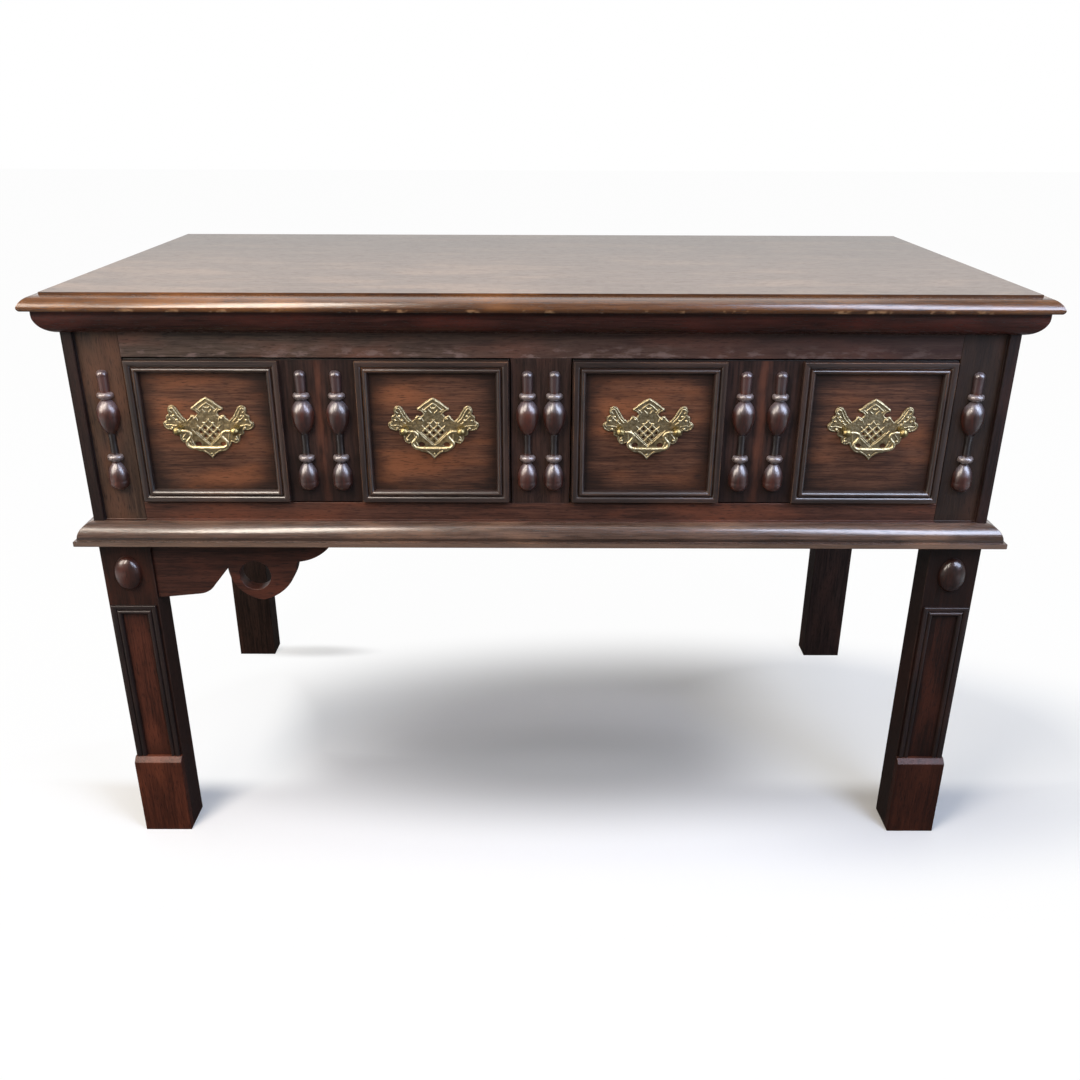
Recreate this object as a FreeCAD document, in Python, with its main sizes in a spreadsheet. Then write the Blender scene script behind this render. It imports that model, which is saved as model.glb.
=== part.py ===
import FreeCAD, Part
import math
import operator
import os

import Sketcher

# An oak lowboy: a framed case on four straight legs, with two drawers, planted mouldings and brass handles.
# Millimetres. +Z is up, the front faces -Y, and the origin is on the floor under the middle of the piece.

# Driving dimensions. Each one becomes a named cell of the sheet.
DIMENSIONS = {
    # Whole piece
    "carcass_width": 1180,
    "carcass_depth": 558,
    "top_height": 796,
    "cut_overrun": 2,
    # Top board and its moulded edge
    "top_thickness": 20,
    "top_overhang": 32,
    "top_edge_width": 20.5,
    "top_quirk_depth": 3,
    "top_nose_height": 5,
    "top_nose_inset": 2.5,
    "top_ovolo_bow": 4.2,
    "top_nose_bow": 0.8,
    # Moulding under the top
    "cornice_height": 30,
    "cornice_reach": 21,
    "cornice_foot": 2,
    "cornice_bow": 7,
    # Legs, which are also the corner posts
    "leg_width": 68,
    "leg_depth": 42,
    "front_recess": 6,
    "corner_strip_width": 14,
    # Levels of the case
    "case_height": 328,
    "base_moulding_height": 28.5,
    "bottom_rail_reveal": 24,
    "top_rail_reveal": 32.5,
    # Base moulding
    "base_reach": 22.5,
    "base_ovolo_reach": 18.5,
    "base_fillet_height": 7,
    "base_ovolo_bow": 5.8,
    # Frame and panels
    "rail_thickness": 24,
    "side_rail_height": 70,
    "muntin_width": 76,
    "tenon_length": 25,
    "tenon_thickness": 8,
    "tenon_setback": 11,
    "tenon_shoulder": 8,
    "side_tenon_length": 18,
    "side_tenon_setback": 8,
    "muntin_tenon_length": 12,
    "side_panel_thickness": 8,
    "back_panel_thickness": 6,
    "panel_tongue": 7,
    # Runners, kickers and stops
    "runner_height": 22,
    "runner_width": 30,
    "guide_height": 16,
    "stop_length": 18,
    "stop_height": 12,
    "stop_gap": 0.5,
    # Shaped bracket
    "bracket_length": 245,
    "bracket_height": 90,
    "bracket_thickness": 20,
    "bracket_setback": 4,
    "bracket_hole_diameter": 42,
    # Ornaments on the front legs
    "boss_width": 36,
    "boss_height": 50,
    "boss_projection": 13,
    "boss_centre_drop": 48,
    "leg_frame_drop": 96,
    "leg_frame_inset": 3.5,
    "leg_strip_width": 13,
    "leg_strip_height": 5,
    "foot_height": 127,
    "foot_thickness": 12,
    "foot_bevel": 7,
    # Split balusters
    "baluster_margin": 17,
    "baluster_diameter": 28,
    "baluster_lift": 1,
    "drawer_baluster_spacing": 44.5,
    "muntin_baluster_spacing": 34,
    # Drawers
    "drawer_gap": 1.5,
    "drawer_running_gap": 0.3,
    "drawer_front_thickness": 20,
    "drawer_side_thickness": 12,
    "drawer_side_drop": 12,
    "drawer_lap": 13,
    "drawer_back_thickness": 12,
    "drawer_back_inset": 12,
    "drawer_back_drop": 6,
    "drawer_dado": 4,
    "drawer_bottom_thickness": 6,
    "drawer_bottom_lift": 12,
    "drawer_bottom_tongue": 5,
    # Panel frames on the drawer fronts
    "plaque_width": 95,
    "frame_margin": 1.5,
    "frame_strip_width": 16,
    "frame_strip_height": 8,
    # Brass handles
    "plate_width": 115,
    "plate_height": 82,
    "plate_thickness": 2,
    "plate_eye_diameter": 7,
    "handle_lift": 5.5,
    "bolt_spacing": 72,
    "bolt_shank_diameter": 5,
    "bolt_ball_diameter": 11.6,
    "bolt_collar_diameter": 10,
    "bolt_collar_thickness": 3,
    "bolt_reach": 12.5,
    "bolt_tail": 2,
    "bolt_hole_gap": 0.4,
    "nut_width": 9,
    "nut_thickness": 4,
    "nut_gap": 0.05,
    "bail_wire_diameter": 4.4,
    "bail_fit_gap": 0.06,
    "bail_pin_overlap": 2,
    "bail_neck_width": 38,
    "bail_swell": 5.4,
    "bail_drop": 22,
    "bail_knee_radius": 4.5,
    "bail_neck_drop": 5.5,
    "bail_corner_radius": 5,
}

# A planted strip in section: how proud it stands and how far across it lies, from its inner back edge.
STRIP_SHARES = [
    (0.0, 1.0),
    (0.0, 0.0),
    (0.65, 0.0),
    (1.0, 0.2),
    (1.0, 0.44),
    (0.55, 0.53),
    (0.85, 0.62),
    (0.2, 1.0),
]
STRIP_BOW_SHARES = {2: 0.05, 6: 0.1}

# A baluster in half section, foot to cap: radius over its widest radius, and height over its whole height.
BALUSTER_SHARES = [
    (0.0, 0.0),
    (0.12, 0.0),
    (0.9, 0.085),
    (0.36, 0.235),
    (0.36, 0.255),
    (0.54, 0.255),
    (0.54, 0.307),
    (0.36, 0.307),
    (0.31, 0.40),
    (0.36, 0.48),
    (1.0, 0.62),
    (0.40, 0.76),
    (0.40, 0.772),
    (0.56, 0.772),
    (0.56, 0.822),
    (0.46, 0.822),
    (0.50, 0.95),
    (0.12, 1.0),
    (0.0, 1.0),
]
BALUSTER_BOW_SHARES = {1: 0.28, 2: 0.2, 5: 0.2, 9: 0.14, 10: 0.24, 13: 0.2, 16: 0.16}

# The bracket's outline from its foot on the leg, along its lower edge to its tip, over its length and height.
BRACKET_SHARES = [
    (0.0, -0.967),
    (0.237, -0.9),
    (0.321, -0.76),
    (0.407, -0.472),
    (0.584, -1.0),
    (0.792, -0.367),
    (1.0, -0.033),
    (1.0, 0.0),
    (0.0, 0.0),
]
BRACKET_BOW_SHARES = {1: 0.03, 3: 0.13, 4: 0.14, 5: 0.08}
BRACKET_HOLE_SHARES = (0.554, -0.591)

# Right half of a backplate's outline, from its pendant up to its peak, over half its width and half its height.
PLATE_SHARES = [
    (0.0, -1.0),
    (0.14, -0.8),
    (0.38, -0.66),
    (0.54, -0.44),
    (0.66, -0.42),
    (0.74, -0.1),
    (0.95, 0.0),
    (1.0, 0.16),
    (0.86, 0.5),
    (0.86, 0.73),
    (0.78, 0.7),
    (0.47, 0.28),
    (0.34, 0.42),
    (0.22, 0.46),
    (0.35, 0.64),
    (0.05, 0.97),
    (0.0, 1.0),
]
PLATE_BOW_SHARES = {0: -0.04, 1: 0.06, 2: -0.03, 4: 0.09, 6: 0.05, 7: -0.05, 8: 0.03, 10: -0.09, 11: 0.06}
PLATE_EYE_SHARES = (0.28, -0.52)

# Arcs over their radius: the bow of a quarter turn, and the bow, rise and run of a sixth of a turn.
QUARTER_BOW_SHARE = 1 - math.cos(math.radians(45))
SIXTH_BOW_SHARE = 1 - math.cos(math.radians(30))
SIXTH_RISE_SHARE = math.sin(math.radians(60))
SIXTH_RUN_SHARE = math.cos(math.radians(60))

SIDES = (("left", -1), ("right", 1))

doc = FreeCAD.newDocument("lowboy")
sheet = doc.addObject("Spreadsheet::Sheet", "size")
nodes = []


class Length:
    """A length as a formula over the sheet's cells, with its present value."""

    def __init__(self, formula, value):
        self.formula = formula
        self.value = value

    def __add__(self, other):
        return combine(self, "+", other)

    def __radd__(self, other):
        return combine(other, "+", self)

    def __sub__(self, other):
        return combine(self, "-", other)

    def __rsub__(self, other):
        return combine(other, "-", self)

    def __mul__(self, other):
        return combine(self, "*", other)

    def __rmul__(self, other):
        return combine(other, "*", self)

    def __truediv__(self, other):
        return combine(self, "/", other)

    def __neg__(self):
        return combine(-1, "*", self)


OPERATIONS = {"+": operator.add, "-": operator.sub, "*": operator.mul, "/": operator.truediv}


def as_length(thing):
    return thing if isinstance(thing, Length) else Length(repr(thing), thing)


def combine(left, sign, right):
    left = as_length(left)
    right = as_length(right)
    value = OPERATIONS[sign](left.value, right.value)
    return Length(f"({left.formula} {sign} {right.formula})", value)


def fill_sheet():
    """Write the driving dimensions into the sheet and give each one back as a Length."""
    lengths = {}
    for row, (name, value) in enumerate(DIMENSIONS.items(), start=1):
        sheet.set(f"A{row}", name)
        sheet.set(f"B{row}", str(value))
        sheet.setAlias(f"B{row}", name)
        lengths[name] = Length(f"size.{name}", value)
    doc.recompute()
    return lengths


# Working the document

def bind(thing, prop, length):
    thing.setExpression(prop, as_length(length).formula)


def place(thing, at, turn=FreeCAD.Rotation()):
    thing.Placement = FreeCAD.Placement(FreeCAD.Vector(), turn)
    for axis, length in zip("xyz", at):
        bind(thing, f"Placement.Base.{axis}", length)


def about(axis, degrees):
    return FreeCAD.Rotation(FreeCAD.Vector(*axis), degrees)


def node(thing):
    nodes.append(thing)
    return thing


def board(name, xs, ys, zs):
    """A squared board that fills three ranges."""
    box = doc.addObject("Part::Box", name)
    for prop, (low, high) in zip(("Length", "Width", "Height"), (xs, ys, zs)):
        bind(box, prop, high - low)
    place(box, (xs[0], ys[0], zs[0]))
    return box


def fuse(name, pieces):
    joined = doc.addObject("Part::MultiFuse", name)
    joined.Shapes = pieces
    joined.Refine = True
    return joined


def cut(name, base, tools):
    """The base with every tool's space taken out of it: a mortise or groove is cut by what it holds."""
    result = doc.addObject("Part::Cut", name)
    result.Base = base
    result.Tool = tools[0] if len(tools) == 1 else fuse(f"{name}_space", tools)
    return result


def group(name, pieces):
    """Separate solids of one kind kept under one name."""
    result = doc.addObject("Part::Compound", name)
    result.Links = pieces
    return result


def mirrored(side, low, high):
    """A range on the right side, or its mirror image on the left."""
    return (low, high) if side > 0 else (-high, -low)


def new_body(name):
    return doc.addObject("PartDesign::Body", name)


def new_sketch(body, role, name):
    drawing = body.newObject("Sketcher::SketchObject", f"{body.Name}_{name}")
    plane = next(feature for feature in body.Origin.OriginFeatures if feature.Role == role)
    drawing.AttachmentSupport = [(plane, "")]
    drawing.MapMode = "FlatFace"
    return drawing


def dimension(drawing, kind, where, length):
    index = drawing.addConstraint(Sketcher.Constraint(kind, *where, length.value))
    drawing.setExpression(f"Constraints[{index}]", length.formula)


def draw_side(drawing, start, stop, bow):
    """One side of an outline. A bow swells it to the right of its run, or to the left if it is negative.

    Gives the side's number and the numbers of its start and stop points.
    """
    (x0, y0), (x1, y1) = [(x.value, y.value) for x, y in (start, stop)]
    first = FreeCAD.Vector(x0, y0, 0)
    last = FreeCAD.Vector(x1, y1, 0)
    if bow is None:
        return drawing.addGeometry(Part.LineSegment(first, last)), 1, 2
    run = last - first
    right = FreeCAD.Vector(run.y, -run.x, 0).normalize()
    middle = (first + last) * 0.5 + right * bow.value
    turns_left = bow.value > 0
    ends = (first, last) if turns_left else (last, first)
    side = drawing.addGeometry(Part.ArcOfCircle(ends[0], middle, ends[1]))
    swell = bow if turns_left else -bow
    across = stop[0] - start[0]
    along = stop[1] - start[1]
    dimension(drawing, "Radius", (side,), (across * across + along * along) / (8 * swell) + swell / 2)
    return (side, 1, 2) if turns_left else (side, 2, 1)


def draw_outline(drawing, points, bows=None, closed=True):
    """Lines and bowed sides through the points, each point held by its two dimensions."""
    bows = bows or {}
    points = [(as_length(x), as_length(y)) for x, y in points]
    count = len(points) if closed else len(points) - 1
    sides = []
    for number in range(count):
        stop = points[(number + 1) % len(points)]
        sides.append(draw_side(drawing, points[number], stop, bows.get(number)))
    for number, (side, start, stop) in enumerate(sides):
        dimension(drawing, "DistanceX", (side, start), points[number][0])
        dimension(drawing, "DistanceY", (side, start), points[number][1])
        if closed or number + 1 < count:
            following = sides[(number + 1) % count]
            join = Sketcher.Constraint("Coincident", side, stop, following[0], following[1])
            drawing.addConstraint(join)
    if not closed:
        side, start, stop = sides[-1]
        dimension(drawing, "DistanceX", (side, stop), points[-1][0])
        dimension(drawing, "DistanceY", (side, stop), points[-1][1])


def draw_circle(drawing, centre, diameter):
    x, y = [as_length(length) for length in centre]
    radius = diameter / 2
    circle = Part.Circle(FreeCAD.Vector(x.value, y.value, 0), FreeCAD.Vector(0, 0, 1), radius.value)
    number = drawing.addGeometry(circle)
    dimension(drawing, "DistanceX", (number, 3), x)
    dimension(drawing, "DistanceY", (number, 3), y)
    dimension(drawing, "Radius", (number,), radius)


def pad(body, drawing, length, both_ways=False):
    feature = body.newObject("PartDesign::Pad", f"{body.Name}_pad")
    feature.Profile = drawing
    bind(feature, "Length", length)
    feature.SideType = "Symmetric" if both_ways else "One side"


def pocket(body, drawing):
    """Cut the drawing right through the body, both ways."""
    feature = body.newObject("PartDesign::Pocket", f"{body.Name}_pocket")
    feature.Profile = drawing
    feature.Type = "ThroughAll"
    feature.SideType = "Symmetric"


def revolve(body, drawing, angle):
    feature = body.newObject("PartDesign::Revolution", f"{body.Name}_turning")
    feature.Profile = drawing
    feature.ReferenceAxis = (drawing, ["V_Axis"])
    feature.Angle = angle
    return feature


def scaled(shares, across, along):
    return [(x * across, y * along) for x, y in shares]


def scaled_bows(shares, length):
    return {side: share * length for side, share in shares.items()}


# Measures that several pieces share

size = fill_sheet()
overrun = size["cut_overrun"]

outer_x = size["carcass_width"] / 2
inner_x = outer_x - size["leg_width"]
front_y = (size["top_overhang"] - size["carcass_depth"]) / 2
back_y = front_y + size["carcass_depth"]
face_y = front_y + size["front_recess"]
rail_back_y = front_y + size["rail_thickness"]
back_rail_y = back_y - size["rail_thickness"]
front_leg_back_y = front_y + size["leg_depth"]
rear_leg_front_y = back_y - size["leg_depth"]
side_rail_x = outer_x - size["rail_thickness"]

under_top = size["top_height"] - size["top_thickness"]
case_bottom = size["top_height"] - size["case_height"]
cornice_bottom = under_top - size["cornice_height"]
base_top = case_bottom + size["base_moulding_height"]
above_opening = size["top_thickness"] + size["cornice_height"] + size["top_rail_reveal"]
below_opening = size["base_moulding_height"] + size["bottom_rail_reveal"]
opening_height = size["case_height"] - above_opening - below_opening
opening_bottom = case_bottom + below_opening
opening_top = opening_bottom + opening_height
opening_middle = opening_bottom + opening_height / 2
drawer_end_y = back_rail_y - size["stop_length"] - size["stop_gap"]
muntin_x = size["muntin_width"] / 2
upper_rail_zs = (under_top - size["side_rail_height"], under_top)
lower_rail_zs = (case_bottom, case_bottom + size["side_rail_height"])
panel_zs = (lower_rail_zs[1] - size["panel_tongue"], upper_rail_zs[0] + size["panel_tongue"])


def shouldered(zs):
    return zs[0] + size["tenon_shoulder"], zs[1] - size["tenon_shoulder"]


# Front frame

def front_rail(name, zs, recess_zs):
    """A rail between the front legs, set back where it shows, with a tenon at each end."""
    blank = board(f"{name}_blank", (-inner_x, inner_x), (front_y, rail_back_y), zs)
    tenon_x = inner_x + size["tenon_length"]
    tenon_y = front_y + size["tenon_setback"]
    tenon_ys = (tenon_y, tenon_y + size["tenon_thickness"])
    tenons = board(f"{name}_tenons", (-tenon_x, tenon_x), tenon_ys, shouldered(zs))
    recess = board(f"{name}_recess", (-inner_x, inner_x), (front_y - overrun, face_y), recess_zs)
    return fuse(f"{name}_stick", [cut(f"{name}_faced", blank, [recess]), tenons])


def front_frame():
    top = front_rail("front_top_rail", (opening_top, under_top), (opening_top - overrun, cornice_bottom))
    bottom_zs = (case_bottom, opening_bottom)
    bottom = front_rail("front_bottom_rail", bottom_zs, (base_top, opening_bottom + overrun))
    tongue = size["muntin_tenon_length"]
    blank = board("muntin_blank", (-muntin_x, muntin_x), (face_y, rail_back_y), (opening_bottom, opening_top))
    tenon_x = muntin_x - size["tenon_shoulder"]
    tenon_y = front_y + size["tenon_setback"]
    tenon_ys = (tenon_y, tenon_y + size["tenon_thickness"])
    tenon_zs = (opening_bottom - tongue, opening_top + tongue)
    tenons = board("muntin_tenons", (-tenon_x, tenon_x), tenon_ys, tenon_zs)
    muntin = node(fuse("centre_muntin", [blank, tenons]))
    return [
        node(cut("front_top_rail", top, [muntin])),
        node(cut("front_bottom_rail", bottom, [muntin])),
    ]


# Sides and back

def side_frame(name, side):
    """Two rails and a loose panel between a front and a rear leg."""
    tenon_xs = mirrored(
        side,
        outer_x - size["side_tenon_setback"] - size["tenon_thickness"],
        outer_x - size["side_tenon_setback"],
    )
    panel_xs = mirrored(
        side,
        outer_x - size["side_tenon_setback"] - size["side_panel_thickness"],
        outer_x - size["side_tenon_setback"],
    )
    tongue = size["panel_tongue"]
    panel_ys = (front_leg_back_y - tongue, rear_leg_front_y + tongue)
    panel = node(board(f"side_panel_{name}", panel_xs, panel_ys, panel_zs))
    rails = []
    for level, zs in (("upper", upper_rail_zs), ("lower", lower_rail_zs)):
        label = f"side_rail_{name}_{level}"
        xs = mirrored(side, side_rail_x, outer_x)
        blank = board(f"{label}_blank", xs, (front_leg_back_y, rear_leg_front_y), zs)
        tenon = size["side_tenon_length"]
        tenon_ys = (front_leg_back_y - tenon, rear_leg_front_y + tenon)
        tenons = board(f"{label}_tenons", tenon_xs, tenon_ys, shouldered(zs))
        rails.append(cut(label, fuse(f"{label}_stick", [blank, tenons]), [panel]))
    node(group(f"side_rails_{name}", rails))
    return rails + [panel]


def back_frame():
    tongue = size["panel_tongue"]
    panel_y = back_y - size["side_tenon_setback"]
    panel_ys = (panel_y - size["back_panel_thickness"], panel_y)
    panel = node(board("back_panel", (-inner_x - tongue, inner_x + tongue), panel_ys, panel_zs))
    rails = []
    for level, zs in (("upper", upper_rail_zs), ("lower", lower_rail_zs)):
        label = f"back_rail_{level}"
        blank = board(f"{label}_blank", (-inner_x, inner_x), (back_rail_y, back_y), zs)
        tenon_x = inner_x + size["tenon_length"]
        tenon_ys = (panel_y - size["tenon_thickness"], panel_y)
        tenons = board(f"{label}_tenons", (-tenon_x, tenon_x), tenon_ys, shouldered(zs))
        rails.append(cut(label, fuse(f"{label}_stick", [blank, tenons]), [panel]))
    node(group("back_rails", rails))
    return rails + [panel]


# Legs

def legs(front_rails, side_pieces, back_pieces):
    for name, side in SIDES:
        xs = mirrored(side, inner_x, outer_x)
        front = board(f"leg_front_{name}_blank", xs, (front_y, front_leg_back_y), (0, under_top))
        recess_xs = mirrored(side, inner_x - overrun, outer_x - size["corner_strip_width"])
        recess_ys = (front_y - overrun, face_y)
        recess = board(f"leg_front_{name}_recess", recess_xs, recess_ys, (base_top, cornice_bottom))
        node(cut(f"leg_front_{name}", front, [recess] + front_rails + side_pieces[name]))
        rear = board(f"leg_rear_{name}_blank", xs, (rear_leg_front_y, back_y), (0, under_top))
        node(cut(f"leg_rear_{name}", rear, side_pieces[name] + back_pieces))


# Mouldings that turn the front corners

def corner_offcut(side, mitred, half_run, reach):
    """What is sawn off one end of a moulding stick, square or at the mitre."""
    low = reach + overrun
    far = half_run + low
    if mitred:
        points = [(half_run - overrun, overrun), (far, -low), (far, overrun)]
    else:
        points = [(half_run, overrun), (half_run, -low), (far, -low), (far, overrun)]
    return [(side * x, y) for x, y in points]


def corner_stick(name, section, bows, reach, run, mitres, at, turn):
    """A moulding along its own X with its face to -Y. The section goes up its back and down its face."""
    body = new_body(name)
    drawing = new_sketch(body, "YZ_Plane", "section")
    draw_outline(drawing, [(-out, up) for out, up in section], bows)
    pad(body, drawing, run + 2 * reach, both_ways=True)
    ends = new_sketch(body, "XY_Plane", "ends")
    for side, mitred in zip((-1, 1), mitres):
        draw_outline(ends, corner_offcut(side, mitred, run / 2, reach))
    pocket(body, ends)
    place(body, at, turn)
    return body


def corner_mouldings(name, section, bows, reach, level):
    """The front, left and right lengths of one moulding, mitred where they meet."""
    middle_y = (front_y + back_y) / 2
    front = corner_stick(f"{name}_front", section, bows, reach, size["carcass_width"], (True, True),
                         (0, front_y, level), about((0, 0, 1), 0))
    left = corner_stick(f"{name}_left", section, bows, reach, size["carcass_depth"], (False, True),
                        (-outer_x, middle_y, level), about((0, 0, 1), -90))
    right = corner_stick(f"{name}_right", section, bows, reach, size["carcass_depth"], (True, False),
                         (outer_x, middle_y, level), about((0, 0, 1), 90))
    return [front, left, right]


def cornice():
    height = size["cornice_height"]
    section = [(0, 0), (0, height), (size["cornice_reach"], height), (size["cornice_foot"], 0)]
    section = [(as_length(out), as_length(up)) for out, up in section]
    bows = {2: size["cornice_bow"]}
    for stick in corner_mouldings("cornice", section, bows, size["cornice_reach"], cornice_bottom):
        node(stick)


def base_moulding():
    fillet = size["base_fillet_height"]
    section = [
        (0, 0),
        (0, size["base_moulding_height"]),
        (size["base_ovolo_reach"], fillet),
        (size["base_reach"], fillet),
        (size["base_reach"], 0),
    ]
    section = [(as_length(out), as_length(up)) for out, up in section]
    bows = {1: size["base_ovolo_bow"]}
    for stick in corner_mouldings("base_moulding", section, bows, size["base_reach"], case_bottom):
        node(stick)


def top_board():
    """The board over the case, with its moulded edge worked on the front and both ends."""
    thickness = size["top_thickness"]
    reach = size["top_overhang"]
    quirk = reach - size["top_edge_width"]
    section = [
        (0, 0),
        (0, thickness),
        (quirk, thickness),
        (quirk, thickness - size["top_quirk_depth"]),
        (reach, size["top_nose_height"]),
        (reach - size["top_nose_inset"], 0),
    ]
    section = [(as_length(out), as_length(up)) for out, up in section]
    bows = {3: size["top_ovolo_bow"], 4: size["top_nose_bow"]}
    edges = corner_mouldings("top_edge", section, bows, reach, under_top)
    core = board("top_core", (-outer_x, outer_x), (front_y, back_y), (under_top, size["top_height"]))
    node(fuse("top_board", [core] + edges))


# Inside of the case

def drawer_bearers():
    """Runners with their guides under the drawers, and kickers over them."""
    bearing = size["runner_width"]
    ys = (rail_back_y, back_rail_y)
    runner_zs = (opening_bottom - size["runner_height"], opening_bottom)
    guide_zs = (runner_zs[0], opening_bottom + size["guide_height"])
    kicker_zs = (opening_top, opening_top + size["runner_height"])
    centre_xs = (-muntin_x - bearing, muntin_x + bearing)
    runner = board("runner_centre_bar", centre_xs, ys, runner_zs)
    guide = board("runner_centre_guide", (-muntin_x, muntin_x), ys, guide_zs)
    runners = [fuse("runner_centre", [runner, guide])]
    kickers = [board("kicker_centre", centre_xs, ys, kicker_zs)]
    for name, side in SIDES:
        bar_xs = mirrored(side, inner_x - bearing, inner_x)
        bar = board(f"runner_{name}_bar", bar_xs, ys, runner_zs)
        guide_ys = (front_leg_back_y, rear_leg_front_y)
        guide = board(f"runner_{name}_guide", mirrored(side, inner_x, side_rail_x), guide_ys, guide_zs)
        runners.append(fuse(f"runner_{name}", [bar, guide]))
        kickers.append(board(f"kicker_{name}", bar_xs, ys, kicker_zs))
    node(group("drawer_runners", runners))
    node(group("drawer_kickers", kickers))


def drawer_stops():
    """Blocks on the runners, against the back rail, that the closed drawers meet."""
    ys = (drawer_end_y + size["stop_gap"], back_rail_y)
    zs = (opening_bottom, opening_bottom + size["stop_height"])
    bearing = size["runner_width"]
    stops = []
    for name, side in SIDES:
        outer_xs = mirrored(side, inner_x - bearing, inner_x)
        inner_xs = mirrored(side, muntin_x, muntin_x + bearing)
        stops.append(board(f"stop_{name}_outer", outer_xs, ys, zs))
        stops.append(board(f"stop_{name}_inner", inner_xs, ys, zs))
    node(group("drawer_stops", stops))


# Ornaments of the case

def leg_bracket():
    """The shaped and pierced bracket beside the left leg, under the bottom rail."""
    length = size["bracket_length"]
    height = size["bracket_height"]
    body = new_body("leg_bracket")
    drawing = new_sketch(body, "XZ_Plane", "outline")
    draw_outline(drawing, scaled(BRACKET_SHARES, length, height), scaled_bows(BRACKET_BOW_SHARES, height))
    pad(body, drawing, size["bracket_thickness"])
    hole = new_sketch(body, "XZ_Plane", "hole")
    across, along = BRACKET_HOLE_SHARES
    draw_circle(hole, (across * length, along * height), size["bracket_hole_diameter"])
    pocket(body, hole)
    back = front_y + size["bracket_setback"] + size["bracket_thickness"]
    place(body, (-inner_x, back, case_bottom))
    node(body)


def moulded_strip(name, width, height, run, mitres, at, turn):
    """A planted strip along its own X, its outer edge on the X axis and its face to -Y."""
    body = new_body(name)
    section = new_sketch(body, "YZ_Plane", "section")
    points = [(-proud, -across) for proud, across in scaled(STRIP_SHARES, height, width)]
    draw_outline(section, points, scaled_bows(STRIP_BOW_SHARES, width))
    pad(body, section, run, both_ways=True)
    ends = new_sketch(body, "XZ_Plane", "ends")
    for side, mitred in zip((-1, 1), mitres):
        if mitred:
            far = run / 2 + overrun
            low = width + overrun
            corner = [(far, overrun), (run / 2 - low, -low), (far, -low)]
            draw_outline(ends, [(side * x, z) for x, z in corner])
    pocket(body, ends)
    place(body, at, turn)
    return body


def mitred_frame(name, centre, width, height, strip_width, strip_height):
    """Four strips mitred into a frame that is planted on a face."""
    x, y, z = centre
    upright = (0, 1, 0)
    strips = []
    for edge, run, at, degrees in (
        ("top", width, (x, y, z + height / 2), 0),
        ("right", height, (x + width / 2, y, z), 90),
        ("bottom", width, (x, y, z - height / 2), 180),
        ("left", height, (x - width / 2, y, z), -90),
    ):
        label = f"{name}_{edge}"
        turn = about(upright, degrees)
        strips.append(moulded_strip(label, strip_width, strip_height, run, (True, True), at, turn))
    return group(name, strips)


def leg_panel_moulding(name, side):
    """Three strips on a front leg, open at the foot where they stand on the foot block."""
    label = f"leg_panel_moulding_{name}"
    strip = (size["leg_strip_width"], size["leg_strip_height"])
    centre_x = side * (inner_x + outer_x) / 2
    width = size["leg_width"] - 2 * size["leg_frame_inset"]
    top = case_bottom - size["leg_frame_drop"]
    rise = top - size["foot_height"]
    middle = size["foot_height"] + rise / 2
    upright = (0, 1, 0)
    node(group(label, [
        moulded_strip(f"{label}_top", *strip, width, (True, True), (centre_x, front_y, top), about(upright, 0)),
        moulded_strip(f"{label}_right", *strip, rise, (True, False),
                      (centre_x + width / 2, front_y, middle), about(upright, 90)),
        moulded_strip(f"{label}_left", *strip, rise, (False, True),
                      (centre_x - width / 2, front_y, middle), about(upright, -90)),
    ]))


def foot_block(name, side):
    """A block on the face of a front leg's foot, bevelled along its top."""
    body = new_body(f"foot_block_{name}")
    drawing = new_sketch(body, "YZ_Plane", "section")
    thickness = size["foot_thickness"]
    height = size["foot_height"]
    bevel = size["foot_bevel"]
    draw_outline(drawing, [(0, 0), (0, height), (bevel - thickness, height), (-thickness, height - bevel),
                           (-thickness, 0)])
    pad(body, drawing, size["leg_width"], both_ways=True)
    place(body, (side * (inner_x + outer_x) / 2, front_y, 0))
    node(body)


def leg_bosses():
    """Oval domes on the front legs."""
    domes = []
    projection = size["boss_projection"]
    half_width = size["boss_width"] / 2
    half_height = size["boss_height"] / 2
    level = case_bottom - size["boss_centre_drop"]
    for name, side in SIDES:
        x = side * (inner_x + outer_x) / 2
        egg = doc.addObject("Part::Ellipsoid", f"boss_{name}_egg")
        for prop, length in (("Radius1", half_height), ("Radius2", half_width), ("Radius3", projection)):
            bind(egg, prop, length)
        place(egg, (x, front_y, level))
        behind = board(
            f"boss_{name}_behind",
            (x - half_width - overrun, x + half_width + overrun),
            (front_y, front_y + projection + overrun),
            (level - half_height - overrun, level + half_height + overrun),
        )
        domes.append(cut(f"boss_{name}", egg, [behind]))
    node(group("leg_bosses", domes))


def baluster(name, x, y):
    """A turned baluster split in half, with its flat side on a face that looks to -Y."""
    body = new_body(name)
    drawing = new_sketch(body, "XZ_Plane", "section")
    radius = size["baluster_diameter"] / 2
    height = opening_height - 2 * size["baluster_margin"]
    draw_outline(drawing, scaled(BALUSTER_SHARES, radius, height), scaled_bows(BALUSTER_BOW_SHARES, radius))
    turning = revolve(body, drawing, 180)
    turning.Reversed = True
    place(body, (x, y, opening_middle + size["baluster_lift"] - height / 2))
    return body


def case_balusters():
    end_x = (inner_x + outer_x - size["corner_strip_width"]) / 2
    for name, side in SIDES:
        node(baluster(f"end_baluster_{name}", side * end_x, face_y))
    half = size["muntin_baluster_spacing"] / 2
    node(group("muntin_balusters", [
        baluster(f"muntin_baluster_{name}", side * half, face_y) for name, side in SIDES
    ]))


# Drawers

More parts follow.
